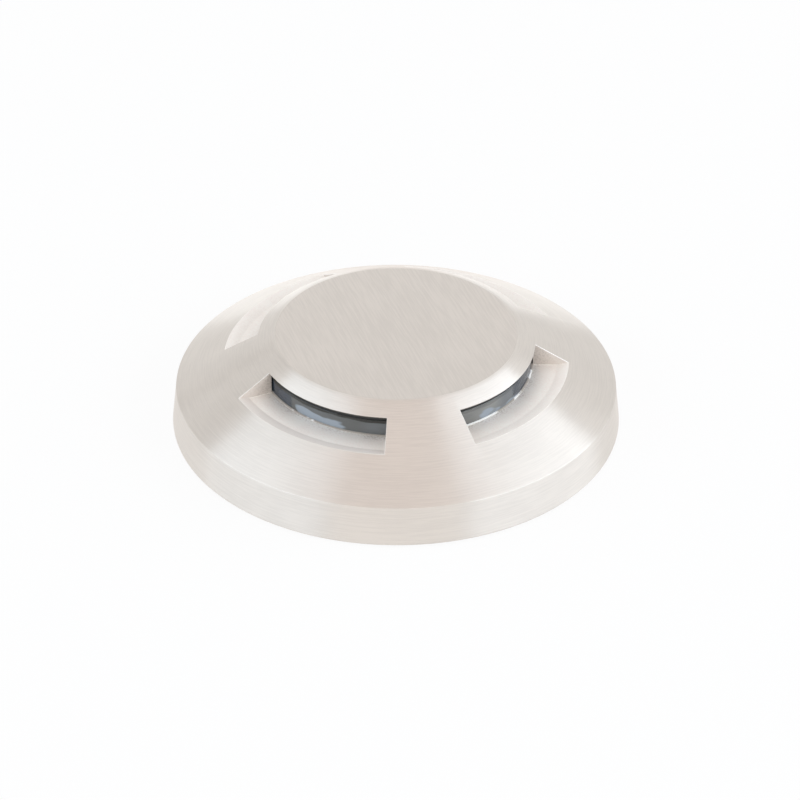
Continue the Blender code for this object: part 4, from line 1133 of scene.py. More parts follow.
@dataclass
class CapShell:
    """The stainless cap: rim, cone, flat top, four pockets and the seats inside."""

    cap_radius: float = 50.0
    rim_draft: float = 1.0
    foot: float = 0.5
    rim_top: float = 9.4997
    cone_angle: float = 30.34
    foot_round: float = 0.4
    edge_round: float = 0.25
    flat_edge: float = 27.3
    flat_round: float = 2.8
    cone_wall: float = 2.4
    skirt_inner: float = 47.0
    shoulder: float = 44.6
    shoulder_height: float = 7.2
    roof_edge: float = 30.8
    lip_reach: float = 0.3      # of the roof's slanted lip, inwards
    lip_rise: float = 0.15      # of its foot over the ceiling
    ceiling: float = 19.5513
    bore: float = 30.3
    groove: float = 27.4
    step: float = 0.7
    pocket_edge: float = 38.25
    ramp_edge: float = 35.55
    floor_outer: float = 15.091
    floor_inner: float = 14.991
    slab_under: float = 12.991
    screw_bore: float = 1.5
    screw_depth: float = 2.4
    key_height: float = 1.1
    key_reach: float = 1.4
    key_half: float = 2.6
    facets: int = 240
    edge: float = 0.1
    sharp: float = 30.0         # edges sharper than this are rounded, in degrees
    ease: float = 0.35          # length of the even stretch beside each round

    def cone(self, radius: float) -> float:
        """Height of the cone's outside at a radius."""
        return self.rim_top + (self.cap_radius - self.rim_draft - radius) * tan(radians(self.cone_angle))

    def crown(self) -> Outline:
        """Outline of the flat top, its round, and the cone down to the roof's edge."""
        reach = self.flat_round * tan(radians(self.cone_angle / 2))
        flat = self.cone(self.flat_edge)
        outline = [(0.0, flat), (self.flat_edge - reach - self.ease, flat)]
        outline += arc((self.flat_edge - reach, flat - self.flat_round), self.flat_round,
                       90.0, 90.0 - self.cone_angle, 10)
        easing = outline[-1][0] + self.ease
        return outline + [(r, self.cone(r)) for r in (easing, self.roof_edge)]

    def skirt(self) -> Outline:
        """Outline from the pocket's outer edge over the rim and up inside to the lens bore."""
        rim_radius = self.cap_radius - self.rim_draft
        lean = atan2(self.rim_draft, self.rim_top - self.foot)
        slope = radians(self.cone_angle)
        reach = self.edge_round * tan((pi / 2 - slope - lean) / 2)
        centre = (rim_radius + reach * sin(lean) - self.edge_round * cos(lean),
                  self.rim_top - reach * cos(lean) - self.edge_round * sin(lean))
        bend = arc(centre, self.edge_round, 90.0 - self.cone_angle, degrees(lean), 8)
        easing = bend[0][0] - self.ease
        outline = [(r, self.cone(r)) for r in (self.pocket_edge, easing)] + bend
        low = (bend[-1][0] + self.ease * sin(lean), bend[-1][1] - self.ease * cos(lean))
        outline.append(low)
        foot = arc((self.cap_radius - self.foot_round, self.foot + self.foot_round), self.foot_round,
                   0.0, -90.0, 8)
        drop = self.cone_wall / cos(slope)
        inner = rim_radius - (self.slab_under + drop - self.rim_top) / tan(slope)
        outline += [(foot[0][0] - self.ease * sin(lean), foot[0][1] + self.ease), *foot]
        return outline + [
            (self.skirt_inner, self.foot), (self.skirt_inner, self.shoulder_height - self.key_height),
            (self.skirt_inner, self.shoulder_height), (self.shoulder, self.shoulder_height),
            (self.shoulder, self.cone(self.shoulder) - drop), (inner, self.slab_under),
            (self.bore, self.slab_under), (self.bore, self.floor_inner)]

    def seats(self) -> Outline:
        """Outline of the lens groove, the ceiling and the reflector screw's hole."""
        centre = self.ceiling - self.step
        return [(self.bore, self.ceiling), (self.groove, self.ceiling), (self.groove, centre),
                (self.screw_bore, centre), (self.screw_bore, centre + self.screw_depth),
                (0.0, centre + self.screw_depth)]

    def floor(self) -> Outline:
        """Outline of a pocket's floor and ramp, from the lens outwards."""
        rise = (self.cone(self.pocket_edge) - self.floor_outer) / (self.pocket_edge - self.ramp_edge)
        ease = self.ease / 2
        return [(self.bore, self.floor_inner), (self.ramp_edge - ease, self.floor_outer),
                (self.ramp_edge + ease, self.floor_outer + rise * ease),
                (self.pocket_edge, self.cone(self.pocket_edge))]

    def roof(self) -> Outline:
        """Outline of a pocket's roof, from the cone over its lip to the lens."""
        return [(self.roof_edge, self.cone(self.roof_edge)),
                (self.roof_edge - self.lip_reach, self.ceiling + self.lip_rise),
                (self.bore, self.ceiling)]

    def surfaces(self, draft: Draft) -> None:
        """Draw the shell, closed, with its pockets.

        Args:
            draft: The empty mesh.
        """
        window = FULL / len(WINDOWS) * 2 / 3
        bridge = FULL / len(BRIDGES) / 3
        slope = [(radius, self.cone(radius)) for radius in (self.roof_edge, self.pocket_edge)]
        wall = [(self.bore, self.floor_inner), (self.bore, self.ceiling)]
        draft.turn(self.crown(), self.facets)
        draft.turn(self.skirt(), self.facets)
        draft.turn(self.seats(), self.facets, slot=CapSlot.MACHINED)
        for centres, sweep, outlines in (
                (WINDOWS, window, ((self.roof(), CapSlot.ROOF_SHADOW), (self.floor(), CapSlot.POCKET))),
                (BRIDGES, bridge, ((slope, CapSlot.TURNED), (wall, CapSlot.POCKET)))):
            steps = round(self.facets * sweep / FULL)
            for centre in centres:
                for outline, slot in outlines:
                    draft.turn(outline, steps, centre - sweep / 2, sweep, slot)
        draft.weld()
        draft.fill(slot=CapSlot.END_WALL)
        bpy.ops.mesh.select_all(action="SELECT")
        bpy.ops.mesh.normals_make_consistent(inside=False)

    def keys(self, draft: Draft) -> None:
        """Draw the four keys that turn the swivel ring.

        Args:
            draft: The cap's mesh.
        """
        for centre in BRIDGES:
            towards = polar(1.0, centre).to_2d()
            draft.pick_faces(lambda c, n: abs(from_axis(c) - self.skirt_inner) < 0.3
                             and self.shoulder_height - self.key_height < c.z < self.shoulder_height
                             and c.to_2d().angle(towards) < radians(self.key_half))
            inwards = -polar(self.key_reach, centre)
            bpy.ops.mesh.extrude_region_move(TRANSFORM_OT_translate={"value": inwards})

    def build(self, finishes: Finishes) -> None:
        """Model the cap.

        Args:
            finishes: The materials.
        """
        draft = Draft("brushed_cap")
        self.surfaces(draft)
        top = self.cone(self.flat_edge)
        draft.pick_faces(lambda c, n: c.z > top - 0.01 and n.z > 0.99)
        draft.dress(CapSlot.BRUSHED)
        draft.pick_faces(lambda c, n: from_axis(c) < self.skirt_inner + 0.5
                         and c.z < self.ceiling - 3.0 and not (n.z > 0.3 or c.z > self.slab_under + 0.2))
        draft.dress(CapSlot.MACHINED)
        self.keys(draft)
        # The pockets' rounded edges take the bright edge finish, a painted highlight; those picked next go
        # back to the pocket steel.
        draft.round_edges(self.edge, self.sharp, lambda m: self.pocket_rim(m, top), CapSlot.EDGE_HIGHLIGHT)
        draft.pick_faces(self.unhighlighted_edge)
        draft.dress(CapSlot.POCKET)
        draft.pick_faces(lambda c, n: abs(from_axis(c) - self.roof_edge) < self.edge
                         and c.z > self.ceiling + 0.4 and n.z > 0.0)
        draft.dress(CapSlot.TURNED)
        settle(draft.finish(), Body.CAP,
               (finishes["brushed_stainless"], finishes.brushed, finishes.pocket, finishes.machined,
                finishes.edge_highlight, finishes.shaded_end_wall, finishes.roof_shadow), ["top_cap"])

    def unhighlighted_edge(self, centre: Vector, normal: Vector) -> bool:
        """Whether a face is part of a rounded edge that gets no painted highlight.

        Args:
            centre: Centre of the face, in millimetres.
            normal: Its normal.

        Returns:
            True along a pocket's outer edge, and in the corner between its floor and its end walls.
        """
        radius = from_axis(centre)
        if abs(radius - self.pocket_edge) < self.edge:
            return self.foot < centre.z and normal.z > 0
        sideways = abs((degrees(atan2(centre.y, centre.x)) + 45.0) % 90.0 - 45.0)
        end = radians(abs(sideways - FULL / len(WINDOWS) / 3)) * radius
        low = centre.z < self.floor_outer + self.edge * 2 or radius > self.ramp_edge - 1.0
        under = centre.z < self.cone(radius) - self.edge * 1.5
        inside = self.bore + self.edge < radius < self.pocket_edge
        return inside and end < self.edge and low and under and normal.z > 0.1

    def pocket_rim(self, middle: Vector, top: float) -> bool:
        """Whether an edge is one of a pocket's.

        Args:
            middle: Middle of the edge, in millimetres.
            top: Height of the flat top.

        Returns:
            True for the edges round a pocket and those beside the lens under its roof.
        """
        radius = from_axis(middle)
        roof = top if radius > self.bore + 0.3 else self.ceiling - 0.1
        beside = self.bore - 0.1 < radius < self.pocket_edge + 0.1
        return beside and self.floor_inner - 0.1 < middle.z < roof


def band(inner: float, outer: float, foot: float, top: float) -> Outline:
    """Corners of a flat ring's section."""
    return [(inner, foot), (outer, foot), (outer, top), (inner, top)]


@dataclass
class Optics:
    """Lens ring, its two gaskets, the retainer with its screws, and the reflector with its own."""

    inner: float = 27.7
    outer: float = 30.0
    lens_foot: float = 13.491
    lens_top: float = 18.751
    opening: float = 30.3       # radius of the cap's opening for the lens
    floor: float = 14.991       # height of the pockets' floors there
    bead_foot: float = 14.6
    gasket: float = 0.5
    gasket_gap: float = 0.15
    retainer_inner: float = 26.9
    retainer_outer: float = 36.885
    retainer_foot: float = 11.191
    retainer_top: float = 12.691
    retainer_circle: float = 33.59
    reflector_foot: float = 15.251
    reflector_top: float = 18.551
    reflector_radius: float = 27.1
    reflector_foot_radius: float = 19.7
    reflector_band: float = 0.4
    play: float = 0.3
    facets: int = 192
    retainer_screw: Screw = Screw(1.75, 0.75, 1.0, 4.2, 0.8)
    reflector_screw: Screw = Screw(2.85, 1.65, 1.2, 5.7, 1.2)

    def lens(self, finishes: Finishes) -> None:
        """The clear ring between its two gaskets, with the bead that seals it to the pockets' floors."""
        section = band(self.inner, self.outer, self.lens_foot, self.lens_top)
        lens = turned("clear_lens_ring", section, self.facets, 0.2)
        inside, low, floor = self.outer + 0.01, self.bead_foot, self.floor
        bead = turned("bead", [(inside, low), (self.opening - 0.02, low), (self.opening - 0.02, floor),
                               (self.opening + 0.12, floor + 0.02), (self.opening, floor + 0.14),
                               (inside, floor + 0.24)], self.facets, 0.03)
        combine([lens, bead], [finishes["clear_lens"], finishes.sealant])
        settle(lens, Body.CAP, [finishes["clear_lens"], finishes.sealant], ["lens_ring"])
        lower = self.lens_foot - self.gasket_gap - self.gasket
        for name, node, foot in (("upper_lens_gasket", "lens_upper_gasket", self.lens_top + self.gasket_gap),
                                 ("lower_lens_gasket", "lens_lower_gasket", lower)):
            section = band(self.inner, self.outer, foot, foot + self.gasket)
            gasket = turned(name, section, self.facets, 0.1)
            settle_plain(gasket, Body.CAP, "black_rubber", finishes, node)

    def retainer(self, finishes: Finishes) -> None:
        """The ring under the lens and the four screws that hold it up to the cap."""
        section = band(self.retainer_inner, self.retainer_outer, self.retainer_foot, self.retainer_top)
        ring = turned("retainer_ring", section, self.facets, 0.25)
        bore = self.retainer_screw.shank + self.play
        sunk = self.retainer_screw.head_height
        tool = drill([(bore + sunk, -1.0), (bore + sunk, 0.0), (bore, sunk), (bore, 3.0)])
        carve(ring, stand(tool, around(self.retainer_circle, BRIDGES, self.retainer_foot)))
        settle_plain(ring, Body.CAP, "black_nylon", finishes, "lens_retainer")
        places = around(self.retainer_circle, BRIDGES, self.retainer_foot, upside_down=True)
        settle_row(stand(self.retainer_screw.flush("retainer_screw"), places), Body.CAP, "screw_steel",
                   finishes, "lens_retainer_screw")

    def reflector(self, finishes: Finishes) -> None:
        """The turned reflector and the screw in its middle."""
        bore = self.reflector_screw.shank + self.play
        sunk = self.reflector_screw.head_height
        section = [(bore + sunk, self.reflector_foot), (self.reflector_foot_radius, self.reflector_foot),
                   (self.reflector_radius, self.reflector_top - self.reflector_band),
                   (self.reflector_radius, self.reflector_top), (bore, self.reflector_top),
                   (bore, self.reflector_foot + sunk)]
        cup = turned("turned_reflector", section, self.facets, 0.1)
        settle_plain(cup, Body.CAP, "polished_aluminium", finishes, "reflector")
        place = Place(0.0, 0.0, self.reflector_foot, upside_down=True)
        screw = stand(self.reflector_screw.flush("middle_screw"), [place])[0]
        settle_plain(screw, Body.CAP, "screw_steel", finishes, "reflector_screw")

    def build(self, finishes: Finishes) -> None:
        """Model the lens, the retainer and the reflector.

        Args:
            finishes: The materials.
        """
        self.lens(finishes)
        self.retainer(finishes)
        self.reflector(finishes)


@dataclass
class Swivel:
    """The ring that the cap turns with, its two rubber rings and the spring ring that keeps it down."""

    inner: float = 41.9
    outer: float = 46.4
    foot: float = 2.7
    top: float = 6.9
    groove: float = 45.05
    groove_low: float = 3.35
    groove_high: float = 5.15
    notch_inner: float = 45.3
    notch_width: float = 4.6
    notch_foot: float = 5.8
    cord: float = 1.5
    cord_height: float = 4.25
    cap_cord_radius: float = 45.95
    hub_cord_radius: float = 41.0
    snap_inner: float = 40.6
    snap_outer: float = 43.2
    snap_foot: float = 7.2
    snap_top: float = 8.0
    snap_opening: float = 24.0
    plier_hole: float = 0.6
    plier_inset: float = 2.6    # of the pliers' holes from the ends, in degrees
    facets: int = 192
    cord_facets: int = 20

    def ring(self, finishes: Finishes) -> None:
        """The swivel ring with its groove and four notches."""
        section = [(self.inner, self.foot), (self.outer, self.foot), (self.outer, self.groove_low),
                   (self.groove, self.groove_low), (self.groove, self.groove_high),
                   (self.outer, self.groove_high), (self.outer, self.top), (self.inner, self.top)]
        ring = turned("notched_ring", section, self.facets, 0.15)
        draft = Draft("notch")
        draft.block((4.0, self.notch_width, 4.0), self.notch_inner + 2.0, 0.0, self.notch_foot)
        carve(ring, stand(draft.finish(), around(0.0, BRIDGES)))
        settle_plain(ring, Body.SWIVEL, "black_nylon", finishes, "swivel_ring")

    def cords(self, finishes: Finishes) -> None:
        """The two rubber rings in their grooves."""
        for name, node, body, radius in (
                ("cap_rubber_ring", "cap_o_ring", Body.SWIVEL, self.cap_cord_radius),
                ("hub_rubber_ring", "hub_o_ring", Body.BASE, self.hub_cord_radius)):
            section = arc((radius, self.cord_height), self.cord / 2, 0.0, FULL, self.cord_facets)
            settle_plain(turned(name, section[:-1], self.facets), body, "black_rubber", finishes, node)

    def spring(self, finishes: Finishes) -> None:
        """The open spring ring with a hole for pliers near each end."""
        draft = Draft("spring_ring")
        section = band(self.snap_inner, self.snap_outer, self.snap_foot, self.snap_top)
        draft.turn(rounded(section, 0.12), self.facets, self.snap_opening / 2, FULL - self.snap_opening)
        draft.weld()
        draft.fill()
        ring = draft.finish()
        tool = drill([(self.plier_hole, self.snap_foot - 1.0), (self.plier_hole, self.snap_top + 1.0)])
        end = self.snap_opening / 2 + self.plier_inset
        carve(ring, stand(tool, around((self.snap_inner + self.snap_outer) / 2, (end, -end))))
        settle_plain(ring, Body.BASE, "spring_steel", finishes, "snap_ring")

    def build(self, finishes: Finishes) -> None:
        """Model the swivel joint's pieces.

        Args:
            finishes: The materials.
        """
        self.ring(finishes)
        self.cords(finishes)
        self.spring(finishes)


@dataclass
class Base:
    """The cast base, the gasket that it stands on, and the cover under its cavity."""

    cover_seat: float = 37.3
    flange: float = 46.0
    flange_foot: float = 1.0
    flange_top: float = 2.4
    hub: float = 41.6
    groove: float = 40.1
    groove_low: float = 3.35
    groove_high: float = 5.15
    snap_low: float = 6.9
    snap_groove: float = 40.3
    snap_high: float = 8.3
    hub_edge: float = 9.55
    deck_edge: float = 39.478
    deck: float = 10.791
    deck_wall: float = 1.7
    board: float = 25.6
    plateau: float = 12.151
    centre_hole: float = 4.0
    recess: float = 23.9
    cavity: float = 35.0
    ledge: float = 3.0
    circle: float = 30.0
    pillar: float = 4.7
    mount_bore: float = 2.25
    mount_head: float = 3.7
    mount_head_depth: float = 3.0
    boss: float = 3.0
    boss_foot: float = 2.5
    post: float = 2.4
    post_foot: float = 4.8
    post_circle: float = 18.7
    screw_bore: float = 1.3
    boss_bore_top: float = 7.5
    post_bore_top: float = 7.6
    board_bore_foot: float = 9.351
    cover_top: float = 2.2
    cover_radius: float = 37.0
    gland_hole: float = 5.45
    gasket_inner: float = 37.8
    gasket_outer: float = 45.5
    gasket_top: float = 0.7
    foot_groove: tuple[float, float, float] = (0.6, 0.4, 0.2)   # half its mouth and floor, and depth
    seal_foot: float = 0.15     # of the cover's gasket, over the cover
    seal_top: float = 0.65
    play: float = 0.3
    edge: float = 0.2
    facets: int = 194           # so that no facet's edge runs through a column's own edges
    cover_screw: Screw = Screw(1.9, 0.9, 1.0, 6.2, 0.85)

    def section(self) -> Outline:
        """Corners of the casting's section."""
        under = self.plateau - self.deck_wall
        deck_under = self.deck - self.deck_wall
        return [
            (self.cover_seat, self.flange_foot), (self.flange, self.flange_foot),
            (self.flange, self.flange_top), (self.hub, self.flange_top),
            (self.hub, self.groove_low), (self.groove, self.groove_low),
            (self.groove, self.groove_high), (self.hub, self.groove_high),
            (self.hub, self.snap_low), (self.snap_groove, self.snap_low),
            (self.snap_groove, self.snap_high), (self.hub, self.snap_high),
            (self.hub, self.hub_edge), (self.deck_edge, self.deck),
            (self.board, self.deck), (self.board, self.plateau),
            (self.centre_hole, self.plateau), (self.centre_hole, under),
            (self.recess, under), (self.recess, deck_under),
            (self.cavity, deck_under), (self.cavity, self.ledge), (self.cover_seat, self.ledge)]

    def casting(self, finishes: Finishes) -> None:
        """The casting with its pillars, bosses and posts, and every hole in it."""
        piece = turned("cast_base", self.section(), self.facets, self.edge)
        root = self.deck_wall / 2
        under = self.plateau - self.deck_wall
        deck_under = self.deck - self.deck_wall
        columns = []
        for radius, foot, top, circle, azimuths in (
                (self.pillar, self.flange_foot, deck_under + root, self.circle, MOUNTS),
                (self.boss, self.boss_foot, deck_under + root, self.circle, BOSSES),
                (self.post, self.post_foot, under + root, self.post_circle, BOSSES)):
            column = drill([(radius - self.edge, foot), (radius, foot + self.edge), (radius, top)], 48)
            columns += stand(column, around(circle, azimuths))
        carve(piece, columns, Cut.ADD)
        seat, over = self.deck - self.mount_head_depth, self.plateau + 1.0
        mount = [(self.mount_bore + self.play, self.flange_foot - 1.0),
                 (self.mount_bore + self.play, self.flange_foot),
                 (self.mount_bore, self.flange_foot + self.play), (self.mount_bore, seat),
                 (self.mount_head, seat), (self.mount_head, self.deck - self.play),
                 (self.mount_head + self.play, self.deck), (self.mount_head + self.play, over)]
        tools = stand(drill(mount, 48), around(self.circle, MOUNTS))
        for low, high, circle in ((self.cover_top, self.boss_bore_top, self.circle),
                                  (self.post_foot - self.play, self.post_bore_top, self.post_circle),
                                  (self.board_bore_foot, over, self.post_circle)):
            tool = drill([(self.screw_bore, low), (self.screw_bore, high)])
            tools += stand(tool, around(circle, BOSSES))
        carve(piece, tools)
        settle_plain(piece, Body.BASE, "cast_aluminium", finishes, "base_casting")

    def foot(self, finishes: Finishes) -> None:
        """The foot gasket, with two sealing grooves in its underside."""
        inner, outer, top = self.gasket_inner, self.gasket_outer, self.gasket_top
        section: Outline = [(inner, 0.0)]
        mouth, floor, depth = self.foot_groove
        for share in (1 / 3, 2 / 3):
            middle = inner + (outer - inner) * share
            section += [(middle - mouth, 0.0), (middle - floor, depth), (middle + floor, depth),
                        (middle + mouth, 0.0)]
        section += [(outer, 0.0), (outer, top), (inner, top)]
        ring = turned("foot_ring", section, self.facets, 0.06)
        settle_plain(ring, Body.BASE, "black_rubber", finishes, "foot_gasket")

    def cover(self, finishes: Finishes) -> None:
        """The bottom cover with its gasket and screws."""
        foot, top = self.flange_foot, self.cover_top
        section = band(self.gland_hole, self.cover_radius, foot, top)
        plate = turned("cover_plate", section, self.facets, self.edge)
        window = self.pillar + self.play
        tool = drill([(window, foot - 1.0), (window, top + 1.0)], 48)
        carve(plate, stand(tool, around(self.circle, MOUNTS)))
        sunk = self.cover_screw.head_height
        tool = drill([(self.screw_bore + sunk, foot - 1.0), (self.screw_bore + sunk, foot),
                      (self.screw_bore, foot + sunk), (self.screw_bore, top + 1.0)])
        carve(plate, stand(tool, around(self.circle, BOSSES)))
        settle_plain(plate, Body.BASE, "black_nylon", finishes, "bottom_cover")
        section = band(self.cavity + self.play, self.cover_radius, top + self.seal_foot,
                       top + self.seal_top)
        seal = turned("cover_seal", section, self.facets, 0.1)
        settle_plain(seal, Body.BASE, "black_rubber", finishes, "cover_gasket")
        places = around(self.circle, BOSSES, foot, upside_down=True)
        settle_row(stand(self.cover_screw.flush("cover_bolt"), places), Body.BASE, "screw_steel",
                   finishes, "cover_screw")

    def build(self, finishes: Finishes) -> None:
        """Model the base and what closes it.

        Args:
            finishes: The materials.
        """
        self.casting(finishes)
        self.foot(finishes)
        self.cover(finishes)


@dataclass
class LightEngine:
    """The light board on its thermal pad, its emitters and screws, and the two leads that feed it."""

    radius: float = 25.6
    hole: float = 4.0
    pad_foot: float = 12.301
    pad_top: float = 12.801
    board_foot: float = 12.951
    board_top: float = 13.951
    solder: float = 0.1
    circle: float = 23.2
    side: float = 3.0
    height: float = 0.65
    spread: float = 11.0
    pool: float = 1.1
    pool_depth: float = 0.25
    contact: float = 0.04
    emitter_contact: tuple[float, float] = (0.9, 2.4)
    lead_contact: tuple[float, float] = (3.2, 2.2)
    contact_edge: float = 0.01
    post_circle: float = 18.7
    screw_bore: float = 1.3
    lead: float = 0.5           # radius of a lead
    lead_hole: float = 1.7
    lead_end: float = -8.0
    terminal_circle: float = 10.464
    terminal_spread: float = 36.0
    terminal_height: float = 4.6
    facets: int = 192
    screw: Screw = Screw(2.1, 0.8, 1.0, 4.4, 0.8)

    def disc(self, name: str, foot: float, top: float, edge: float) -> bpy.types.Object:
        """A disc with a hole in its middle and three for the screws.

        Args:
            name: Name of the piece.
            foot: Lower height.
            top: Upper height.
            edge: Radius of its rounded edges.

        Returns:
            The finished object.
        """
        disc = turned(name, band(self.hole, self.radius, foot, top), self.facets, edge)
        tool = drill([(self.screw_bore, foot - 1.0), (self.screw_bore, top + 1.0)])
        carve(disc, stand(tool, around(self.post_circle, BOSSES)))
        return disc

    def board(self, finishes: Finishes) -> None:
        """The light board, with tinned contacts for its emitters and leads, and rings for its screws."""
        disc = self.disc("light_board", self.board_foot, self.board_top, 0.05)
        foot, size, edge = self.board_top - self.contact / 2, self.contact * 1.5, self.contact_edge
        draft = Draft("contacts")
        for azimuth in self.emitter_azimuths():
            for across in (-self.side / 2, self.side / 2):
                draft.block((*self.emitter_contact, size), self.circle + across, azimuth, foot, edge)
        for hole_x in (-self.lead_hole, self.lead_hole):
            azimuth = degrees(atan2(self.lead_end, hole_x))
            draft.block((*self.lead_contact, size), hypot(hole_x, self.lead_end), azimuth, foot, edge)
        contacts = draft.finish()
        section = band(self.screw_bore + 0.1, self.screw.head + 0.5, foot, foot + size)
        ring = turned("ring", section, 32, edge)
        rings = stand(ring, around(self.post_circle, BOSSES))
        tinned = [finishes.tinned] * (len(rings) + 1)
        combine([disc, contacts, *rings], [finishes["dark_board"], *tinned])
        settle(disc, Body.BASE, [finishes["dark_board"], finishes.tinned], ["led_board"])

    def emitter_azimuths(self) -> list[float]:
        """Azimuth of each emitter, two behind each window."""
        return [window + side for window in WINDOWS for side in (-self.spread, self.spread)]

    def emitters(self, finishes: Finishes) -> None:
        """White packages, each with a round pool of phosphor."""
        draft = Draft("light_source")
        draft.block((self.side, self.side, self.height), 0.0, 0.0, 0.0, 0.08)
        package = draft.finish()
        floor = self.height - self.pool_depth
        carve(package, [drill([(self.pool, floor), (self.pool, self.height + 1.0)], 32)])
        radius, rise = self.pool - 0.02, self.pool_depth * 0.7
        pool = turned("pool", [(0.0, floor + 0.01), (radius, floor + 0.01), (radius, floor + rise),
                               (radius / 2, floor + rise + 0.03), (0.0, floor + rise + 0.04)], 32)
        package = combine([package, pool], [finishes["emitter"], finishes.phosphor])
        places = around(self.circle, self.emitter_azimuths(), self.board_top + self.solder)
        for number, piece in enumerate(stand(package, places), 1):
            settle(piece, Body.BASE, [finishes["emitter"], finishes.phosphor],
                   [f"led_emitter_{number}"])

    def leads(self, finishes: Finishes) -> None:
        """The two leads from the terminal block up through the board, soldered down at their ends."""
        for name, node, slot, turn in (("supply_lead", "positive_lead", "red_insulation", -1),
                                       ("return_lead", "negative_lead", "black_insulation", 1)):
            start = polar(self.terminal_circle, 90.0 + self.terminal_spread * turn) / MM
            x = -self.lead_hole * turn
            foot, high = self.terminal_height, self.board_top + self.solder + self.lead
            route = [(start.x, start.y, foot), (start.x, start.y, foot + 1.85),
                     (0.8 * start.x, 0.8 * start.y, foot + 3.7), (x, start.y / 4, foot + 4.775),
                     (x, 0.0, self.board_foot - 2.5), (x, 0.0, self.board_foot),
                     (x, -self.lead, high - 0.25), (x, self.lead_end / 2, high), (x, self.lead_end, high)]
            lead = wire(name, [Vector(place) for place in route], self.lead)
            swell = self.lead + 0.35
            outline = [(0.0, -swell), (swell * 1.1, -swell), (swell, -0.2), (swell * 0.75, 0.35),
                       (swell * 0.4, 0.6), (0.0, 0.7)]
            blob = turned("blob", outline, 24)
            azimuth = degrees(atan2(self.lead_end, x))
            stand(blob, [Place(hypot(x, self.lead_end), azimuth, self.board_top + swell)])
            combine([lead, blob], [finishes[slot], finishes.tinned])
            settle(lead, Body.BASE, [finishes[slot], finishes.tinned], [node])

    def build(self, finishes: Finishes) -> None:
        """Model the light board and what is on it.

        Args:
            finishes: The materials.
        """
        pad = self.disc("thermal_sheet", self.pad_foot, self.pad_top, 0.1)
        settle_plain(pad, Body.BASE, "thermal_pad", finishes, "thermal_pad")
        self.board(finishes)
        self.emitters(finishes)
        places = around(self.post_circle, BOSSES, self.board_top + self.solder)
        settle_row(stand(self.screw.domed("board_bolt"), places), Body.BASE, "screw_steel",
                   finishes, "led_board_screw")
        self.leads(finishes)


@dataclass
class Gland:
    """The cable gland in the middle of the bottom cover."""

    bore: float = 3.1
    flange: float = 7.15
    flange_foot: float = 0.2
    flange_top: float = 0.7
    tube: float = 5.15
    top: float = 6.1
    pocket: float = 4.05
    seat: float = 3.1
    seal_outer: float = 3.9
    seal_gap: float = 0.15
    nut_inner: float = 5.45
    nut: float = 7.05
    nut_foot: float = 2.5
    nut_top: float = 4.3
    nut_chamfer: float = 0.5
    cap_foot: float = 4.6
    cap_under: float = 6.4
    cap_top: float = 7.3
    facets: int = 96

    def locknut(self) -> bpy.types.Object:
        """Hexagon nut with its corners turned down."""
        foot, top, cut = self.nut_foot, self.nut_top, self.nut_chamfer
        corner = self.nut + 0.03
        nut = turned("hexagon_nut", [(0.0, foot - 1.0), (corner, foot - 1.0), (corner, top + 1.0),
                                     (0.0, top + 1.0)], 6)
        blank = [(self.nut - cut, foot), (self.nut, foot + cut), (self.nut, top - cut),
                 (self.nut - cut, top)]
        carve(nut, [drill(blank, self.facets)], Cut.KEEP)
        carve(nut, [drill([(self.nut_inner, foot - 1.0), (self.nut_inner, top + 1.0)], 48)])
        return nut

    def build(self, finishes: Finishes) -> None:
        """Model the gland's body, nut, seal and cap.

        Args:
            finishes: The materials.
        """
        body = [(self.bore, self.flange_foot), (self.flange, self.flange_foot),
                (self.flange, self.flange_top), (self.tube, self.flange_top), (self.tube, self.top),
                (self.pocket, self.top), (self.pocket, self.seat), (self.bore, self.seat)]
        seal = band(self.bore, self.seal_outer, self.seat + self.seal_gap, self.top - self.seal_gap)
        slope = self.cap_top - self.cap_under
        cap = [(self.nut_inner, self.cap_foot), (self.nut, self.cap_foot), (self.nut, self.cap_under),
               (self.nut - slope, self.cap_top), (self.bore, self.cap_top),
               (self.bore, self.cap_under), (self.nut_inner, self.cap_under)]
        for piece, slot, node in (
                (turned("gland_tube", body, self.facets, 0.12), "black_nylon", "gland_body"),
                (self.locknut(), "black_nylon", "gland_locknut"),
                (turned("cable_seal", seal, self.facets, 0.2), "black_rubber", "gland_seal"),
                (turned("gland_top", cap, self.facets, 0.1), "black_nylon", "gland_cap")):
            settle_plain(piece, Body.BASE, slot, finishes, node)


@dataclass
class Viewpoint:
    """The photograph's camera."""

    distance: float = 0.70
    focal: float = 3114.0       # in pixels of the 800-pixel picture
    picture: float = 800.0
    elevation: float = 34.0
    azimuth: float = 33.5       # from -Y towards +X
    roll: float = 0.26
    centre: tuple[float, float] = (396.0, 413.0)
    aim: float = 0.0005

    def build(self) -> None:
        """Create the camera and make it the scene's."""
        lift, roll = radians(self.elevation), radians(self.roll)
        spin = Matrix.Rotation(radians(self.azimuth), 3, "Z")
        right = spin @ Vector((1, 0, 0))
        back = spin @ Vector((0, -cos(lift), sin(lift)))
        up = spin @ Vector((0, sin(lift), cos(lift)))
        right, up = cos(roll) * right + sin(roll) * up, cos(roll) * up - sin(roll) * right
        scale = self.distance / self.focal
        across = (self.centre[0] - self.picture / 2) * scale
        over = (self.picture / 2 - self.centre[1]) * scale
        place = Vector((0, 0, self.aim)) - across * right - over * up + self.distance * back
        turn = Matrix((right, up, back)).transposed()
        bpy.ops.object.camera_add(location=place, rotation=turn.to_euler())
        camera = bpy.context.active_object
        camera.name = "photograph_camera"
        camera.data.sensor_width = 36.0
        camera.data.lens = self.focal / self.picture * camera.data.sensor_width
        camera.data.clip_start, camera.data.clip_end = 0.01, 20.0
        bpy.context.scene.camera = camera


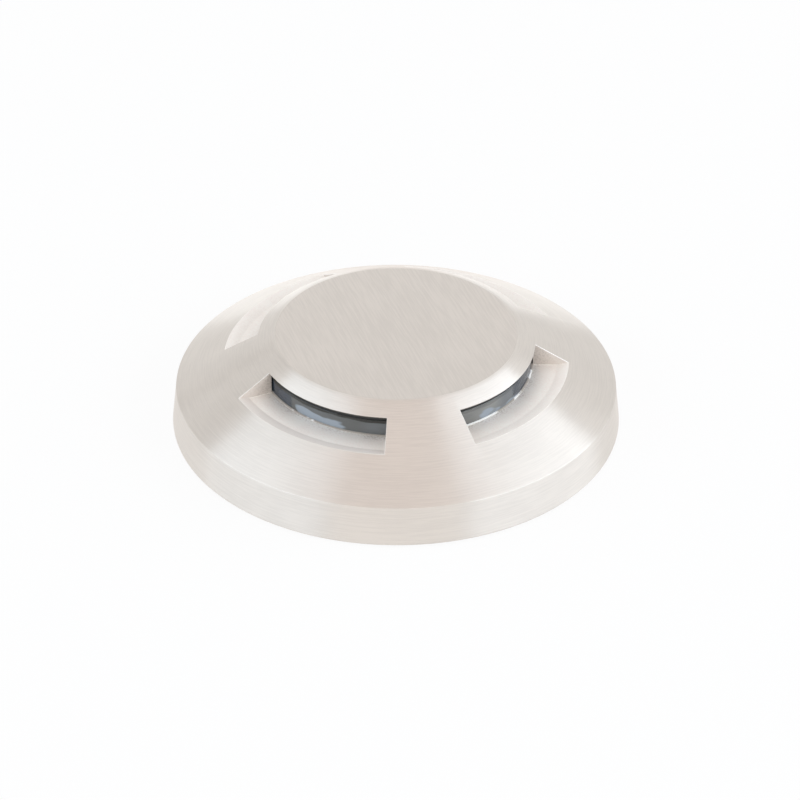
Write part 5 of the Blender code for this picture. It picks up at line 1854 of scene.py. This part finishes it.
def bearing(azimuth: float, elevation: float) -> Vector:
    """Direction of length 1.

    Args:
        azimuth: Angle from -Y towards +X, in degrees.
        elevation: Angle over the horizon.

    Returns:
        The direction.
    """
    turn, lift = radians(azimuth), radians(elevation)
    return Vector((sin(turn) * cos(lift), -cos(turn) * cos(lift), sin(lift)))


@dataclass
class Softbox:
    """A soft lamp that faces the light. The camera doesn't see it."""

    name: str
    azimuth: float              # from the camera's own azimuth, to the right
    elevation: float
    width: float                # angle that it takes up, seen from the light
    height: float
    radiance: float
    colour: Colour = WHITE
    distance: float = 1.4

    def build(self, viewpoint: Viewpoint) -> None:
        """Hang the lamp.

        Args:
            viewpoint: The camera, whose azimuth the lamp's is measured from.
        """
        away = bearing(self.azimuth + viewpoint.azimuth, self.elevation)
        bpy.ops.object.light_add(type="AREA", location=away * self.distance)
        lamp = bpy.context.active_object
        lamp.name = self.name
        lamp.rotation_euler = away.to_track_quat("Z", "Y").to_euler()
        lamp.visible_camera = False
        lamp.data.shape = "RECTANGLE"
        lamp.data.size = 2 * self.distance * tan(radians(self.width / 2))
        lamp.data.size_y = 2 * self.distance * tan(radians(self.height / 2))
        lamp.data.energy = self.radiance * pi * lamp.data.size * lamp.data.size_y
        lamp.data.color = self.colour


@dataclass
class Studio:
    """Floor, background and lamps."""

    floor_size: float = 6.0
    floor_colour: Colour = (0.9, 0.9, 0.9)
    floor_glow: float = 0.9     # share of the floor's white that the object's shadow leaves alone
    ambient: float = 0.75
    lamps: tuple[Softbox, ...] = (
        Softbox("left_key", -68.0, 27.0, 64.0, 34.0, 1.50, (0.71, 0.855, 1.0)),
        Softbox("right_key", 74.0, 27.0, 73.0, 34.0, 1.95, (0.775, 0.88, 1.0)),
        Softbox("front_fill", 0.0, 12.0, 60.0, 20.0, 0.85, (1.0, 0.95, 0.91)),
        Softbox("left_low", -112.0, 7.0, 34.0, 12.0, 1.0, (0.88, 0.94, 1.0)),
        Softbox("right_low", 108.0, 7.0, 34.0, 12.0, 0.8, (0.88, 0.94, 1.0)),
        Softbox("back_strip", 180.0, 7.0, 36.0, 14.0, 1.4, (0.85, 0.93, 1.0)),
    )
    ceiling: Colour = (1.0, 0.865, 0.815)   # what the steel mirrors from straight above
    ceiling_range: tuple[float, float] = (0.86, 0.98)   # sines of the heights where it fades in
    flag: Colour = (0.66, 0.64, 0.62)       # a dull panel, at an azimuth from the camera's own
    flag_azimuth: float = -136.0
    flag_elevation: float = 34.0
    flag_half: float = 22.0

    def build(self, viewpoint: Viewpoint) -> None:
        """Set up floor, world and lamps.

        Args:
            viewpoint: The camera.
        """
        bpy.ops.object.select_all(action="DESELECT")
        bpy.ops.mesh.primitive_plane_add(size=self.floor_size)
        floor = bpy.context.active_object
        floor.name = "floor"
        board = Board.material("white_floor")
        glow = board.node("ShaderNodeEmission", {}, {"Color": WHITE, "Strength": 1.0})["Emission"]
        board.set(Base_Color=self.floor_colour, Roughness=0.9, Specular_IOR_Level=0.0)
        mixed = board.node("ShaderNodeMixShader", {}, {
            0: self.seen(board, self.floor_glow), 1: Link(board, board.shader.outputs[0]),
            2: glow})["Shader"]
        board.feed(board.tree.nodes["Material Output"].inputs["Surface"], mixed)
        floor.data.materials.append(board.owner)

        world = bpy.data.worlds.new("studio")
        world.use_nodes = True
        bpy.context.scene.world = world
        sky = Board(world.node_tree, world)
        background = sky.tree.nodes["Background"]
        direction = sky.node("ShaderNodeTexCoord")["Generated"]
        up = sky.node("ShaderNodeSeparateXYZ", {}, {0: direction})["Z"]
        panel = bearing(self.flag_azimuth + viewpoint.azimuth, self.flag_elevation)
        near = sky.node("ShaderNodeVectorMath", {"operation": "DOT_PRODUCT"}, {
            0: direction, 1: tuple(panel)})["Value"].step(cos(radians(self.flag_half)), 1.0)
        shown = sky.mix(up.step(*self.ceiling_range), WHITE, self.ceiling)
        sky.feed(background.inputs["Color"], sky.mix(near, shown, self.flag))
        sky.feed(background.inputs["Strength"], self.seen(sky, 1.0) * (1.0 - self.ambient) + self.ambient)
        for lamp in self.lamps:
            lamp.build(viewpoint)

    @staticmethod
    def seen(board: Board, direct: float) -> Link:
        """How white a surface looks to each kind of ray.

        Args:
            board: The nodes of the floor or the world.
            direct: Value for rays from the camera.

        Returns:
            That value for the camera, 1 for what metal and glass show, and 0 for the rest.
        """
        path = board.node("ShaderNodeLightPath")
        passed = path["Is Glossy Ray"].maths("MAXIMUM", path["Is Transmission Ray"])
        return (path["Is Camera Ray"] * direct).maths("MAXIMUM", passed)


def dress_nodes(finishes: Finishes) -> None:
    """Give every node that still shows its finish.

    Args:
        finishes: The materials.
    """
    slots = {}
    for row in frame["record"]["subparts"]:
        slots[row["node"]] = row["material_slot"]
    for name, node in frame["nodes"].items():
        for slot in node.material_slots:
            slot.material = finishes[slots[name]]


def main() -> None:
    """Build the light and its studio."""
    logging.basicConfig(level=logging.INFO, format="%(name)s: %(message)s")
    finishes = Finishes()
    dress_nodes(finishes)
    for assembly in (CapShell(), Optics(), Swivel(), Base(), LightEngine(), Gland()):
        assembly.build(finishes)
    viewpoint = Viewpoint()
    viewpoint.build()
    Studio().build(viewpoint)
    scene = bpy.context.scene
    scene.view_settings.view_transform = "Standard"


if __name__ == "__main__":
    main()
